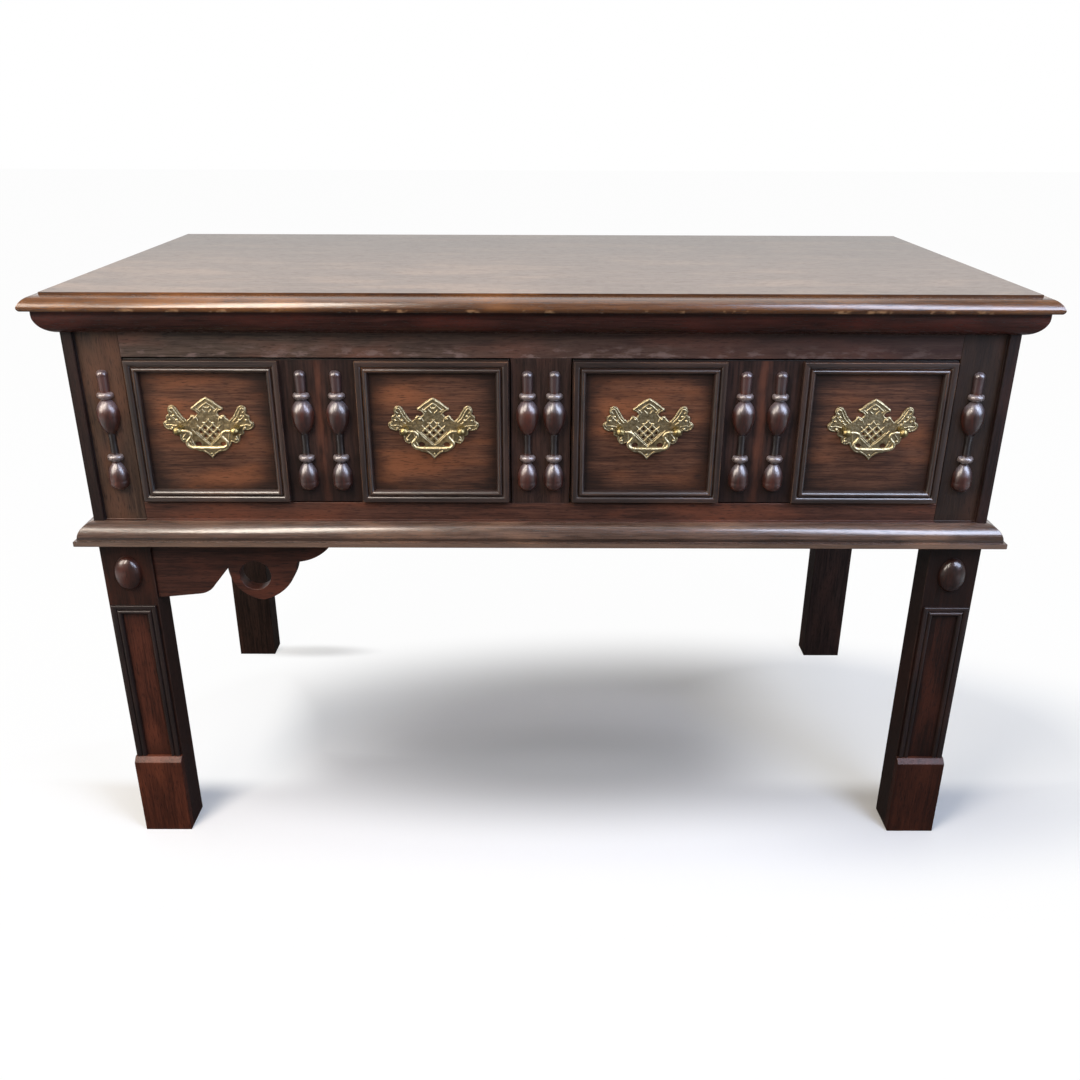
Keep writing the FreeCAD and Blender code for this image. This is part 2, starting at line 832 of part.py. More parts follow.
def handle_bolt(name, x, y, z):
    """A turned bolt whose ball holds one end of a bail and whose shank goes through the drawer front."""
    body = new_body(name)
    drawing = new_sketch(body, "XY_Plane", "section")
    ball = size["bolt_ball_diameter"] / 2
    reach = size["bolt_reach"]
    neck = ball * SIXTH_RUN_SHARE
    collar = size["bolt_collar_thickness"]
    collar_radius = size["bolt_collar_diameter"] / 2
    shank = size["bolt_shank_diameter"] / 2
    grip = size["plate_thickness"] + size["drawer_front_thickness"]
    end = grip + size["nut_thickness"] + size["bolt_tail"]
    points = [
        (0, -reach - ball),
        (ball, -reach),
        (neck, -reach + ball * SIXTH_RISE_SHARE),
        (neck, -collar),
        (collar_radius, -collar),
        (collar_radius, 0),
        (shank, 0),
        (shank, end),
        (0, end),
    ]
    draw_outline(drawing, points, {0: ball * QUARTER_BOW_SHARE, 1: ball * SIXTH_BOW_SHARE})
    revolve(body, drawing, 360)
    hole = new_sketch(body, "YZ_Plane", "hole")
    draw_circle(hole, (-reach, 0), size["bail_wire_diameter"] + 2 * size["bail_fit_gap"])
    pocket(body, hole)
    place(body, (x, y, z))
    return body


def nut(name, x, y, z):
    """A six-sided nut behind the drawer front."""
    body = new_body(name)
    drawing = new_sketch(body, "XZ_Plane", "outline")
    radius = size["nut_width"] / 2 / math.cos(math.radians(30))
    corners = [math.radians(60 * corner) for corner in range(6)]
    draw_outline(drawing, [(radius * math.cos(angle), radius * math.sin(angle)) for angle in corners])
    draw_circle(drawing, (0, 0), size["bolt_shank_diameter"] + 2 * size["nut_gap"])
    pad(body, drawing, size["nut_thickness"])
    place(body, (x, y + size["nut_thickness"], z))
    return body


def backplate(name, x, y, z):
    """A shaped plate with two pierced eyes and the holes for its two bolts."""
    body = new_body(name)
    half_width = size["plate_width"] / 2
    half_height = size["plate_height"] / 2
    right_half = scaled(PLATE_SHARES, half_width, half_height)
    left_half = [(-across, along) for across, along in right_half[-2:0:-1]]
    bows = scaled_bows(PLATE_BOW_SHARES, half_width)
    last = 2 * len(right_half) - 3
    bows.update({last - side: bow for side, bow in bows.items()})
    drawing = new_sketch(body, "XZ_Plane", "outline")
    draw_outline(drawing, right_half + left_half, bows)
    pad(body, drawing, size["plate_thickness"])
    holes = new_sketch(body, "XZ_Plane", "holes")
    eye_across, eye_along = PLATE_EYE_SHARES
    for side in (-1, 1):
        bolt_x = side * size["bolt_spacing"] / 2
        draw_circle(holes, (bolt_x, 0), size["bolt_shank_diameter"] + size["bolt_hole_gap"])
        eye = (side * eye_across * half_width, eye_along * half_height)
        draw_circle(holes, eye, size["plate_eye_diameter"])
    pocket(body, holes)
    place(body, (x, y, z))
    return node(body)


def bail(name, x, y, z):
    """A swan-necked bail: half of it is swept from the middle of its grip to its pin, then mirrored."""
    body = new_body(name)
    drop = size["bail_drop"]
    neck_x = size["bail_neck_width"] / 2
    swell = size["bail_swell"]
    belly_x = neck_x + swell
    corner = size["bail_corner_radius"]
    knee = size["bail_knee_radius"]
    neck_z = -size["bail_neck_drop"]
    step = swell * SIXTH_RISE_SHARE
    pin_x = size["bolt_spacing"] / 2 + size["bail_pin_overlap"]
    path = [
        (0, -drop),
        (belly_x - corner, -drop),
        (belly_x, corner - drop),
        (belly_x, neck_z - 2 * step),
        (neck_x + swell / 2, neck_z - step),
        (neck_x, neck_z),
        (neck_x, -knee),
        (neck_x + knee, 0),
        (pin_x, 0),
    ]
    bows = {
        1: corner * QUARTER_BOW_SHARE,
        3: swell * SIXTH_BOW_SHARE,
        4: -(swell * SIXTH_BOW_SHARE),
        6: -(knee * QUARTER_BOW_SHARE),
    }
    route = new_sketch(body, "XZ_Plane", "route")
    draw_outline(route, path, bows, closed=False)
    wire = new_sketch(body, "YZ_Plane", "wire")
    draw_circle(wire, (0, -drop), size["bail_wire_diameter"])
    half = body.newObject("PartDesign::AdditivePipe", f"{name}_half")
    half.Profile = wire
    half.Spine = (route, [])
    doc.recompute()
    whole = body.newObject("PartDesign::Mirrored", f"{name}_whole")
    whole.Originals = [half]
    whole.MirrorPlane = (next(f for f in body.Origin.OriginFeatures if f.Role == "YZ_Plane"), [""])
    body.Tip = whole
    place(body, (x, y, z))
    return node(body)


def drawer_box(label, left_x, right_x):
    """The drawer's sides, back and bottom, and the spaces that they take out of its front."""
    front_back_y = face_y + size["drawer_front_thickness"]
    thickness = size["drawer_side_thickness"]
    low = opening_bottom + size["drawer_running_gap"]
    high = opening_top - size["drawer_side_drop"]
    inside = (left_x + thickness, right_x - thickness)
    bottom_z = low + size["drawer_bottom_lift"]
    bottom_top = bottom_z + size["drawer_bottom_thickness"]
    tongue = size["drawer_bottom_tongue"]
    bottom_xs = (inside[0] - tongue, inside[1] + tongue)
    bottom_ys = (front_back_y - tongue, drawer_end_y)
    bottom = node(board(f"{label}_bottom", bottom_xs, bottom_ys, (bottom_z, bottom_top)))
    dado = size["drawer_dado"]
    back_end = drawer_end_y - size["drawer_back_inset"]
    back_ys = (back_end - size["drawer_back_thickness"], back_end)
    back_zs = (bottom_top, high - size["drawer_back_drop"])
    back = node(board(f"{label}_back", (inside[0] - dado, inside[1] + dado), back_ys, back_zs))
    side_ys = (front_back_y - size["drawer_lap"], drawer_end_y)
    blanks = [
        board(f"{label}_side_left_blank", (left_x, inside[0]), side_ys, (low, high)),
        board(f"{label}_side_right_blank", (inside[1], right_x), side_ys, (low, high)),
    ]
    for (name, _), blank in zip(SIDES, blanks):
        node(cut(f"{label}_side_{name}", blank, [bottom, back]))
    return [bottom] + blanks


def drawer(name, side):
    label = f"drawer_{name}"
    left_x, right_x = mirrored(side, muntin_x + size["drawer_gap"], inner_x - size["drawer_gap"])
    low = opening_bottom + size["drawer_gap"]
    high = opening_top - size["drawer_gap"]
    front_back_y = face_y + size["drawer_front_thickness"]
    joints = drawer_box(label, left_x, right_x)
    middle_x = (left_x + right_x) / 2
    middle_z = (low + high) / 2
    margin = size["frame_margin"]
    frame_width = (right_x - left_x - size["plaque_width"]) / 2 - margin
    frame_height = high - low - 2 * margin
    handle_z = middle_z + size["handle_lift"]
    plate_front_y = face_y - size["plate_thickness"]
    bolts = []
    nuts = []
    shanks = []
    for end, hand in SIDES:
        frame_x = middle_x + hand * (size["plaque_width"] + frame_width) / 2
        node(mitred_frame(f"{label}_frame_{end}", (frame_x, face_y, middle_z), frame_width, frame_height,
                          size["frame_strip_width"], size["frame_strip_height"]))
        backplate(f"{label}_plate_{end}", frame_x, face_y, handle_z)
        bail(f"{label}_bail_{end}", frame_x, plate_front_y - size["bolt_reach"], handle_z)
        for place_name, way in SIDES:
            bolt_x = frame_x + way * size["bolt_spacing"] / 2
            tag = f"{label}_{end}_{place_name}"
            bolts.append(handle_bolt(f"{tag}_bolt", bolt_x, plate_front_y, handle_z))
            nuts.append(nut(f"{tag}_nut", bolt_x, front_back_y, handle_z))
            shanks.append(bolt_hole(f"{tag}_hole", bolt_x, front_back_y, handle_z))
    blank = board(f"{label}_front_blank", (left_x, right_x), (face_y, front_back_y), (low, high))
    node(cut(f"{label}_front", blank, joints + shanks))
    node(group(f"{label}_bolts", bolts))
    node(group(f"{label}_nuts", nuts))
    half = size["drawer_baluster_spacing"] / 2
    node(group(f"{label}_balusters", [
        baluster(f"{label}_baluster_{end}", middle_x + hand * half, face_y) for end, hand in SIDES
    ]))


def bolt_hole(name, x, back, z):
    """The space of one bolt's hole through a drawer front."""
    space = doc.addObject("Part::Cylinder", name)
    bind(space, "Radius", (size["bolt_shank_diameter"] + size["bolt_hole_gap"]) / 2)
    bind(space, "Height", size["drawer_front_thickness"] + 2 * overrun)
    place(space, (x, back + overrun, z), about((1, 0, 0), 90))
    return space


# Checking and writing

def check_document():
    """Stop if any object failed, any pocket cut nothing or any piece is not sound."""
    for thing in doc.Objects:
        if "Invalid" in thing.State or "Error" in thing.State:
            raise RuntimeError(f"{thing.Name} failed: {thing.State}")
        if thing.TypeId == "PartDesign::Pocket":
            if not thing.Shape.Volume < thing.BaseFeature.Shape.Volume:
                raise RuntimeError(f"{thing.Name} cuts nothing")
    for piece in nodes:
        if piece.Shape.isNull() or not piece.Shape.isValid() or not piece.Shape.Solids:
            raise RuntimeError(f"{piece.Label} is not a sound solid")


def write_parts():
    os.makedirs("parts", exist_ok=True)
    for piece in nodes:
        piece.Shape.exportStep(os.path.join("parts", f"{piece.Label}.step"))


def main():
    front_rails = front_frame()
    side_pieces = {name: side_frame(name, side) for name, side in SIDES}
    legs(front_rails, side_pieces, back_frame())
    cornice()
    base_moulding()
    top_board()
    drawer_bearers()
    drawer_stops()
    leg_bracket()
    leg_bosses()
    case_balusters()
    for name, side in SIDES:
        leg_panel_moulding(name, side)
        foot_block(name, side)
        drawer(name, side)
    doc.recompute()
    check_document()
    write_parts()


main()
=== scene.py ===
import math

import bpy
from mathutils import Matrix, Vector


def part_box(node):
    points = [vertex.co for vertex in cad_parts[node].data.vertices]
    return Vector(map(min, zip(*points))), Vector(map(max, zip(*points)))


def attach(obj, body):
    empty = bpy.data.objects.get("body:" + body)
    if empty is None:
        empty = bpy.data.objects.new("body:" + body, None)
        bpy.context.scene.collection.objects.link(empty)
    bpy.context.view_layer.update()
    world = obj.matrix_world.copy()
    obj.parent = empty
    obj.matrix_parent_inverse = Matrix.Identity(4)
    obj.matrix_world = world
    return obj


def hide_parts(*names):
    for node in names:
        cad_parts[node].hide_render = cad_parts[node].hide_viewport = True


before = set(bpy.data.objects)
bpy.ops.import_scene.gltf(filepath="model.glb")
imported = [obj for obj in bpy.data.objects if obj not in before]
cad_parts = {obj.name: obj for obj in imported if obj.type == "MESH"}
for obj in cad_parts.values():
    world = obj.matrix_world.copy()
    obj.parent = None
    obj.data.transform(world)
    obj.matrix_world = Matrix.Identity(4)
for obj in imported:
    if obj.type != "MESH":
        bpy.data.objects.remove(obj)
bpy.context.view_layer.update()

# A dark oak lowboy with brass handles, dressed and lit for a studio picture.
# Metres, in the frame of the solids.

MM = 0.001

# Where the pieces of the front lie
DRAWER_X = 280 * MM
FIELD_FROM_DRAWER = 143.25 * MM
FIELD_HALF_WIDTH = 79.75 * MM
FIELD_HALF_HEIGHT = 77.5 * MM
PLAQUE_HALF_WIDTH = 47.5 * MM
FRONT_MIDDLE_Z = 617 * MM
FACE_Y = -257 * MM
LEG_X = 556 * MM
LEG_FRONT_Y = -263 * MM
FOOT_HEIGHT = 127 * MM
LEG_FRAME_TOP = 372 * MM
LEG_FIELD_HALF_WIDTH = 17.5 * MM
BASE_TOP = 496.5 * MM
CORNICE_BOTTOM = 746 * MM
CASE_TOP = 776 * MM
TOP_FLAT_HALF_WIDTH = 601.5 * MM
TOP_FLAT_FRONT = -274.5 * MM
HANDLE_Z = 622.5 * MM
BAIL_Y = -271.5 * MM
CASE_INNER_X = 522 * MM
LEG_INNER_X = 520 * MM
CORNER_STRIP_X = 576 * MM
LOW_RAIL_LEVELS = (468 * MM, 538 * MM)
HIGH_RAIL_LEVELS = (706 * MM, CASE_TOP)
SIDE_RAIL_ENDS = (-221 * MM, 253 * MM)
MUNTIN_ENDS = (520.5 * MM, 713.5 * MM)
DRAWER_LAP = 12 * MM
DRAWER_FACE_THICKNESS = 7 * MM
DRAWER_TOP_Z = FRONT_MIDDLE_Z + 93 * MM
FRAME_WIDTH = 191.5 * MM
FRAME_HEIGHT = 187 * MM
LEG_FRAME_WIDTH = 61 * MM
FIELD_XS = [middle + side * FIELD_FROM_DRAWER for middle in (-DRAWER_X, DRAWER_X) for side in (-1, 1)]
DRAWERS = ("drawer_left", "drawer_right")
SIDES = ("left", "right")
FRAME_NODES = [f"{drawer}_frame_{side}" for drawer in DRAWERS for side in SIDES]
BAIL_NODES = [f"{drawer}_bail_{side}" for drawer in DRAWERS for side in SIDES]
BAIL_BODIES = [f"bail_{drawer}_{side}" for drawer in SIDES for side in SIDES]
PLATE_NODES = [f"{drawer}_plate_{side}" for drawer in DRAWERS for side in SIDES]
STAINED = "stained_oak"
INNER = "inner_oak"
BRASS = "antique_brass"

# How far arrises are eased, in how many steps, and from what angle on
HAIR_EASE = 0.4 * MM
FINE_EASE = 0.5 * MM
SLIGHT_EASE = 0.6 * MM
PLAIN_EASE = 0.8 * MM
BROAD_EASE = 1.0 * MM
EASE_STEPS = 3
EASED_ANGLE = math.radians(32)
# Angles and distances used in shaping
SMOOTH_ANGLE = math.radians(50)
FLAT_ANGLE = math.radians(0.5)
WELD_DISTANCE = 0.002 * MM
NEAR = 0.1 * MM
FACING = 0.9
QUARTER_TURN = math.pi / 2


# Picking and shaping

def only(piece):
    """Select one piece alone and make it the active one."""
    bpy.ops.object.select_all(action="DESELECT")
    piece.select_set(True)
    bpy.context.view_layer.objects.active = piece
    return piece


def edit_all(piece):
    """Go into edit mode on one piece with all of its mesh selected."""
    only(piece)
    bpy.ops.object.mode_set(mode="EDIT")
    bpy.ops.mesh.select_all(action="SELECT")


def leave_edit():
    bpy.ops.object.mode_set(mode="OBJECT")


def edit_faces(piece, wanted):
    """Go into edit mode on one piece with only the wanted faces selected."""
    edit_all(piece)
    bpy.ops.mesh.select_mode(type="FACE")
    bpy.ops.mesh.select_all(action="DESELECT")
    leave_edit()
    for face in piece.data.polygons:
        face.select = wanted(face)
    bpy.ops.object.mode_set(mode="EDIT")


def pull(piece, wanted, *moves):
    """Draw the wanted faces out of a piece, once for each move."""
    edit_faces(piece, wanted)
    for move in moves:
        bpy.ops.mesh.extrude_region_move(TRANSFORM_OT_translate={"value": move})
    leave_edit()


def score(piece, place, direction):
    """Cut a line right round a piece."""
    edit_all(piece)
    bpy.ops.mesh.bisect(plane_co=place, plane_no=direction)
    leave_edit()


def settle(piece):
    """Put a piece's place, turn and size into its mesh."""
    only(piece)
    bpy.ops.object.transform_apply(location=True, rotation=True, scale=True)


def ease(piece, width, rubbed):
    """Round the sharp arrises over and give the rounded faces the rubbed wood's slot."""
    only(piece)
    bpy.ops.object.shade_smooth()
    bevel = piece.modifiers.new("eased", "BEVEL")
    bevel.width = width
    bevel.segments = EASE_STEPS
    bevel.limit_method = "ANGLE"
    bevel.angle_limit = EASED_ANGLE
    bevel.material = rubbed
    bevel.harden_normals = True
    bpy.ops.object.modifier_apply(modifier="eased")


def finish_piece(piece, body, slot, *nodes):
    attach(piece, body)
    if nodes:
        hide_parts(*nodes)


# Materials

# Marks in the wood: how long along the grain, and how wide. Real pores are about 0.3 mm wide: they are
# drawn four times as wide to show.
STREAK = (180 * MM, 6 * MM)
FIBRE = (36 * MM, 1.5 * MM)
PATCH = (160 * MM, 45 * MM)
PORE = (13 * MM, 1.2 * MM)
RAGGED_DARKENING = (60 * MM, 22 * MM)
UPRIGHT_GRAIN = (50 * MM, 4 * MM)
RUBBED_STREAK = (45 * MM, 9 * MM)
SCUFF = (20 * MM, 7 * MM)
BLOTCH = (6 * MM, 5 * MM)
CHIP = (30 * MM, 30 * MM)
WOOD_RELIEF = 0.3 * MM
# From which value of its noise a mark starts to show, and from which it is full
NOISE_MIDDLE = 0.5
FIBRE_SHARE = 0.5
GLOW_SHOWS = (0.46, 0.7)
PORE_SHOWS = (0.55, 0.66)
PORE_SHARE = 0.7
UPRIGHT_SHOWS = (0.35, 0.65)
SCUFF_SHOWS = (0.48, 0.66)
CHIP_SHOWS = (0.55, 0.64)
PAINTED_SHEEN_SHOWS = (0.35, 0.85)
PAINTED_SHEEN_BLOTCHINESS = 0.5
# Marks in the brass: leafy relief left by the mould, cloudy rubbing, and the grit of the sand, drawn coarse
LEAF_SIZE = 4 * MM
CLOUD_SIZE = 6 * MM
GRIT_SIZE = 1.2 * MM
BRASS_RELIEF = 0.6 * MM
LEAF_RUB = -0.7
CLOUD_RUB = 0.9
RUB_SHOWS = (-0.2, 0.9)
LEAF_DEPTH = -1.5
DULL_ROUGHNESS = 0.55
BRIGHT_ROUGHNESS = 0.36
BRASS_HIGH_DEPTHS = (FACE_Y - 1.7 * MM, FACE_Y - 3.0 * MM)
# Where the wear, the darkening and the painted light and shade lie: from where each starts to where it is
# full
FIELD_DARKENING_REACH = (0.85, 1.25)
FIELD_DARKENING_HEIGHT_SHARE = 1.12
DARKENING_RAGGEDNESS = 0.4
PLAQUE_EDGE = (PLAQUE_HALF_WIDTH, PLAQUE_HALF_WIDTH - 1.5 * MM)
PLAQUE_FOOT = (590 * MM, 550 * MM)
RED_STREAK_EDGE = (26 * MM, 10 * MM)
RED_STREAK_WANDER = 30 * MM
DRAWER_JOINT_SHADE = (DRAWER_TOP_Z, DRAWER_TOP_Z + 1.5 * MM)
LEG_DARKENING_REACH = (0.65, 1.1)
LEG_DARKENING_POWER = 6.0
RAIL_REDDENS = (-350 * MM, 150 * MM)
RAIL_SCUFFED = (735 * MM, 715 * MM)
SPINDLE_GREYS = (669 * MM, 675 * MM)
NECK_Z = 603 * MM
NECK_HALF_HEIGHT = 18 * MM
NECK_EDGE = (1.0, 0.6)
COLLAR_ZS = (583 * MM, 665 * MM)
COLLAR_HALF_HEIGHT = 5 * MM
COLLAR_EDGE = (1.0, 0.7)
EDGE_CHIPPED = (CASE_TOP + 5 * MM, CASE_TOP + 2.5 * MM)
BASE_CORNER_Z = 477.5 * MM
BASE_CORNER_HALF_HEIGHT = 3.0 * MM
BASE_CORNER_EDGE = (1.0, 0.4)
BASE_FILLET_HIGHLIGHT = (475.2 * MM, 474 * MM)
TOP_GREYS = (-180 * MM, 280 * MM)


def linear(hex_colour):
    """An sRGB hex colour as linear red, green, blue and alpha."""
    shares = [int(hex_colour[place:place + 2], 16) / 255 for place in (1, 3, 5)]
    curve = [share / 12.92 if share <= 0.04045 else ((share + 0.055) / 1.055) ** 2.4 for share in shares]
    return (*curve, 1.0)


def add(tree, kind, inputs, out=0, **settings):
    """One node with its settings, of which one output is given back.

    An input is a value or the output of another node.
    """
    node = tree.nodes.new(kind)
    for name, value in settings.items():
        setattr(node, name, value)
    for key, value in inputs.items():
        if isinstance(value, bpy.types.NodeSocket):
            tree.links.new(value, node.inputs[key])
        else:
            node.inputs[key].default_value = value
    return node.outputs[out]


def new_tree(name):
    material = bpy.data.materials.new(name)
    material.use_nodes = True
    material.node_tree.nodes.clear()
    return material, material.node_tree


def add_surface(tree, shader):
    surface = tree.nodes.new("ShaderNodeOutputMaterial")
    tree.links.new(shader, surface.inputs["Surface"])


def grown(tree, grain, length, width, detail, distortion=0.0):
    """Noise drawn out along the grain, its marks about so long and so wide."""
    where = add(tree, "ShaderNodeTexCoord", {}, out="Object")
    scale = [1 / length if axis == grain else 1 / width for axis in "xyz"]
    drawn = add(tree, "ShaderNodeMapping", {"Vector": where, "Scale": scale})
    return add(tree, "ShaderNodeTexNoise", {
        "Vector": drawn, "Scale": 1.0, "Detail": detail, "Roughness": 0.6, "Distortion": distortion,
    })


def fade(tree, value, start, end, low=0.0, high=1.0):
    """A soft step from low to high while the value goes from start to end."""
    return add(tree, "ShaderNodeMapRange", {
        "Value": value, "From Min": start, "From Max": end, "To Min": low, "To Max": high,
    }, interpolation_type="SMOOTHSTEP")


def mixed(tree, mask, under, over):
    return add(tree, "ShaderNodeMix", {0: mask, 6: under, 7: over}, out=2, data_type="RGBA")


def oak(name, grain, stain, gloss, specular=0.3, coat=0.0, figure=0.17, coat_roughness=0.16):
    """Oak, planed and stained: streaks and fibres along the grain, and open pores that hold the dark stain.

    The stain is four colours: of the hard late wood, the early wood, the warm patches and the pores.
    The gloss is the roughness of the smooth wood and of the open wood. A small figure gives strong streaks.
    """
    material, tree = new_tree(name)
    late, early, warm, pore = [linear(colour) for colour in stain]
    streak = grown(tree, grain, *STREAK, detail=4.0, distortion=0.4)
    fibre = grown(tree, grain, *FIBRE, detail=3.0)
    patch = grown(tree, grain, *PATCH, detail=2.0)
    vessel = grown(tree, grain, *PORE, detail=2.0)
    tone = add(tree, "ShaderNodeMix", {0: FIBRE_SHARE, 2: streak, 3: fibre})
    tone = fade(tree, tone, NOISE_MIDDLE - figure, NOISE_MIDDLE + figure)
    glow = fade(tree, patch, *GLOW_SHOWS, high=0.7)
    pores_start, pores_full = PORE_SHOWS
    open_wood = add(tree, "ShaderNodeMapRange", {
        "Value": vessel, "From Min": pores_start, "From Max": pores_full, "To Max": PORE_SHARE})
    colour = mixed(tree, tone, late, early)
    colour = mixed(tree, glow, colour, warm)
    colour = mixed(tree, open_wood, colour, pore)
    smooth, open_pored = gloss
    roughness = add(tree, "ShaderNodeMapRange", {
        "Value": open_wood, "To Min": smooth, "To Max": open_pored})
    relief = add(tree, "ShaderNodeMix", {0: open_wood, 2: fibre, 3: 0.0})
    bump = add(tree, "ShaderNodeBump", {"Strength": 0.3, "Distance": WOOD_RELIEF, "Height": relief})
    shader = add(tree, "ShaderNodeBsdfPrincipled", {
        "Base Color": colour, "Roughness": roughness, "Normal": bump,
        "Specular IOR Level": specular, "Coat Weight": coat, "Coat Roughness": coat_roughness,
    })
    add_surface(tree, shader)
    return material


def oaks(name, grains, *looks, **more):
    """The same oak for boards whose grain runs along each of the axes named."""
    return {grain: oak(f"{name}_{grain}", grain, *looks, **more) for grain in grains}


def lay_over(material, mask, colour):
    """Lay one more colour over a wood where the mask says."""
    tree = material.node_tree
    shader = next(node for node in tree.nodes if node.type == "BSDF_PRINCIPLED")
    under = shader.inputs["Base Color"].links[0].from_socket
    tree.links.new(mixed(tree, mask, under, colour), shader.inputs["Base Color"])


def position(tree):
    """A point's places along the three axes."""
    where = add(tree, "ShaderNodeTexCoord", {}, out="Object")
    return add(tree, "ShaderNodeSeparateXYZ", {"Vector": where}).node.outputs


def off(tree, value, centre, half):
    """How far a value is from a centre, as a share of half a width."""
    apart = add(tree, "ShaderNodeMath", {0: value, 1: centre}, operation="SUBTRACT")
    apart = add(tree, "ShaderNodeMath", {0: apart}, operation="ABSOLUTE")
    return add(tree, "ShaderNodeMath", {0: apart, 1: half}, operation="DIVIDE")


def rounded_reach(tree, across, along, power=4.0):
    """One in all directions at the edge of a rectangle with rounded corners."""
    sides = [add(tree, "ShaderNodeMath", {0: share, 1: power}, operation="POWER")
             for share in (across, along)]
    both = add(tree, "ShaderNodeMath", {0: sides[0], 1: sides[1]}, operation="ADD")
    return add(tree, "ShaderNodeMath", {0: both, 1: 1 / power}, operation="POWER")


def darken_drawer_front(material):
    """A field is bright in its middle and darker beside its frame.

    The plaque between the balusters has upright grain, dark but for a red streak rubbed down its middle.
    """
    tree = material.node_tree
    place = position(tree)
    sideways = off(tree, place["X"], 0.0, 1.0)
    from_drawer = off(tree, sideways, DRAWER_X, 1.0)
    across = off(tree, from_drawer, FIELD_FROM_DRAWER, FIELD_HALF_WIDTH)
    along = off(tree, place["Z"], FRONT_MIDDLE_Z, FIELD_DARKENING_HEIGHT_SHARE * FIELD_HALF_HEIGHT)
    reach = rounded_reach(tree, across, along)
    ragged = grown(tree, "x", *RAGGED_DARKENING, detail=3.0)
    reach = add(tree, "ShaderNodeMath", {0: ragged, 1: DARKENING_RAGGEDNESS, 2: reach}, operation="MULTIPLY_ADD")
    lay_over(material, fade(tree, reach, *FIELD_DARKENING_REACH, high=0.85), linear("#1a1210"))
    upright = grown(tree, "z", *UPRIGHT_GRAIN, detail=3.0)
    plaque = mixed(tree, fade(tree, upright, *UPRIGHT_SHOWS), linear("#1f1411"), linear("#36241f"))
    on_plaque = fade(tree, from_drawer, *PLAQUE_EDGE)
    lay_over(material, on_plaque, plaque)
    rubbed = grown(tree, "z", *RUBBED_STREAK, detail=3.0)
    wander = add(tree, "ShaderNodeMath", {
        0: rubbed, 1: RED_STREAK_WANDER, 2: from_drawer}, operation="MULTIPLY_ADD")
    lay_over(material, fade(tree, wander, *RED_STREAK_EDGE, high=0.72), linear("#623a2b"))
    # The plaque is darker towards its foot, and painted shade lies in the joint above the drawer.
    low = fade(tree, place["Z"], *PLAQUE_FOOT, high=0.55)
    low = add(tree, "ShaderNodeMath", {0: low, 1: on_plaque}, operation="MULTIPLY")
    lay_over(material, low, linear("#190f0d"))
    lay_over(material, fade(tree, place["Z"], *DRAWER_JOINT_SHADE), linear("#0c0705"))


def paint_shade_right(material, share, colour="#140b08"):
    """Painted shade: the right end of the front is painted darker than the left, as the light falls from
    the left.
    """
    tree = material.node_tree
    lay_over(material, fade(tree, position(tree)["X"], 0.0, LEG_X, high=share), linear(colour))


def darken_leg(material):
    """Only the sunk field of a front leg is bright, and the right leg takes painted shade."""
    tree = material.node_tree
    place = position(tree)
    sideways = off(tree, place["X"], 0.0, 1.0)
    across = off(tree, sideways, LEG_X, LEG_FIELD_HALF_WIDTH)
    middle = (FOOT_HEIGHT + LEG_FRAME_TOP) / 2
    along = off(tree, place["Z"], middle, middle - FOOT_HEIGHT)
    reach = rounded_reach(tree, across, along, LEG_DARKENING_POWER)
    lay_over(material, fade(tree, reach, *LEG_DARKENING_REACH, high=0.65), linear("#1a100c"))
    paint_shade_right(material, 0.6)


def wear_rail(material):
    """The rail over the drawers is grey at its left end, and scuffed pale along its lower edge."""
    tree = material.node_tree
    place = position(tree)
    lay_over(material, fade(tree, place["X"], *RAIL_REDDENS, high=0.4), linear("#4c2e28"))
    scuffed = fade(tree, grown(tree, "x", *SCUFF, detail=4.0), *SCUFF_SHOWS)
    lower = fade(tree, place["Z"], *RAIL_SCUFFED, high=0.62)
    scuffed = add(tree, "ShaderNodeMath", {0: scuffed, 1: lower}, operation="MULTIPLY")
    lay_over(material, scuffed, linear("#85706a"))


def paint_turned_light_and_shade(material):
    """A baluster gets painted shade in its neck, painted highlights on its collars, and a painted sheen on
    what faces up.
    """
    tree = material.node_tree
    height = position(tree)["Z"]
    # Painted sheen: a pale bluish grey laid on what faces up.
    facing = add(tree, "ShaderNodeNewGeometry", {}, out="Normal")
    upward = add(tree, "ShaderNodeSeparateXYZ", {"Vector": facing}, out="Z")
    blotch = grown(tree, "z", *BLOTCH, detail=2.0)
    upward = add(tree, "ShaderNodeMath", {
        0: blotch, 1: PAINTED_SHEEN_BLOTCHINESS, 2: upward}, operation="MULTIPLY_ADD")
    lay_over(material, fade(tree, upward, *PAINTED_SHEEN_SHOWS, high=0.45), linear("#77737a"))
    lay_over(material, fade(tree, height, *SPINDLE_GREYS, high=0.5), linear("#43383a"))
    # Painted shade in the baluster's neck.
    neck = fade(tree, off(tree, height, NECK_Z, NECK_HALF_HEIGHT), *NECK_EDGE, high=0.92)
    lay_over(material, neck, linear("#100907"))
    # Painted highlights on the collars.
    for middle in COLLAR_ZS:
        collar = fade(tree, off(tree, height, middle, COLLAR_HALF_HEIGHT), *COLLAR_EDGE, high=0.55)
        lay_over(material, collar, linear("#8a7f7c"))


def chip_edge(material):
    """Chips and rubs along the lowest edge of the top show paler wood."""
    tree = material.node_tree
    chips = fade(tree, grown(tree, "x", *CHIP, detail=3.0), *CHIP_SHOWS)
    lower = fade(tree, position(tree)["Z"], *EDGE_CHIPPED, high=0.85)
    chips = add(tree, "ShaderNodeMath", {0: chips, 1: lower}, operation="MULTIPLY")
    lay_over(material, chips, linear("#b98c63"))


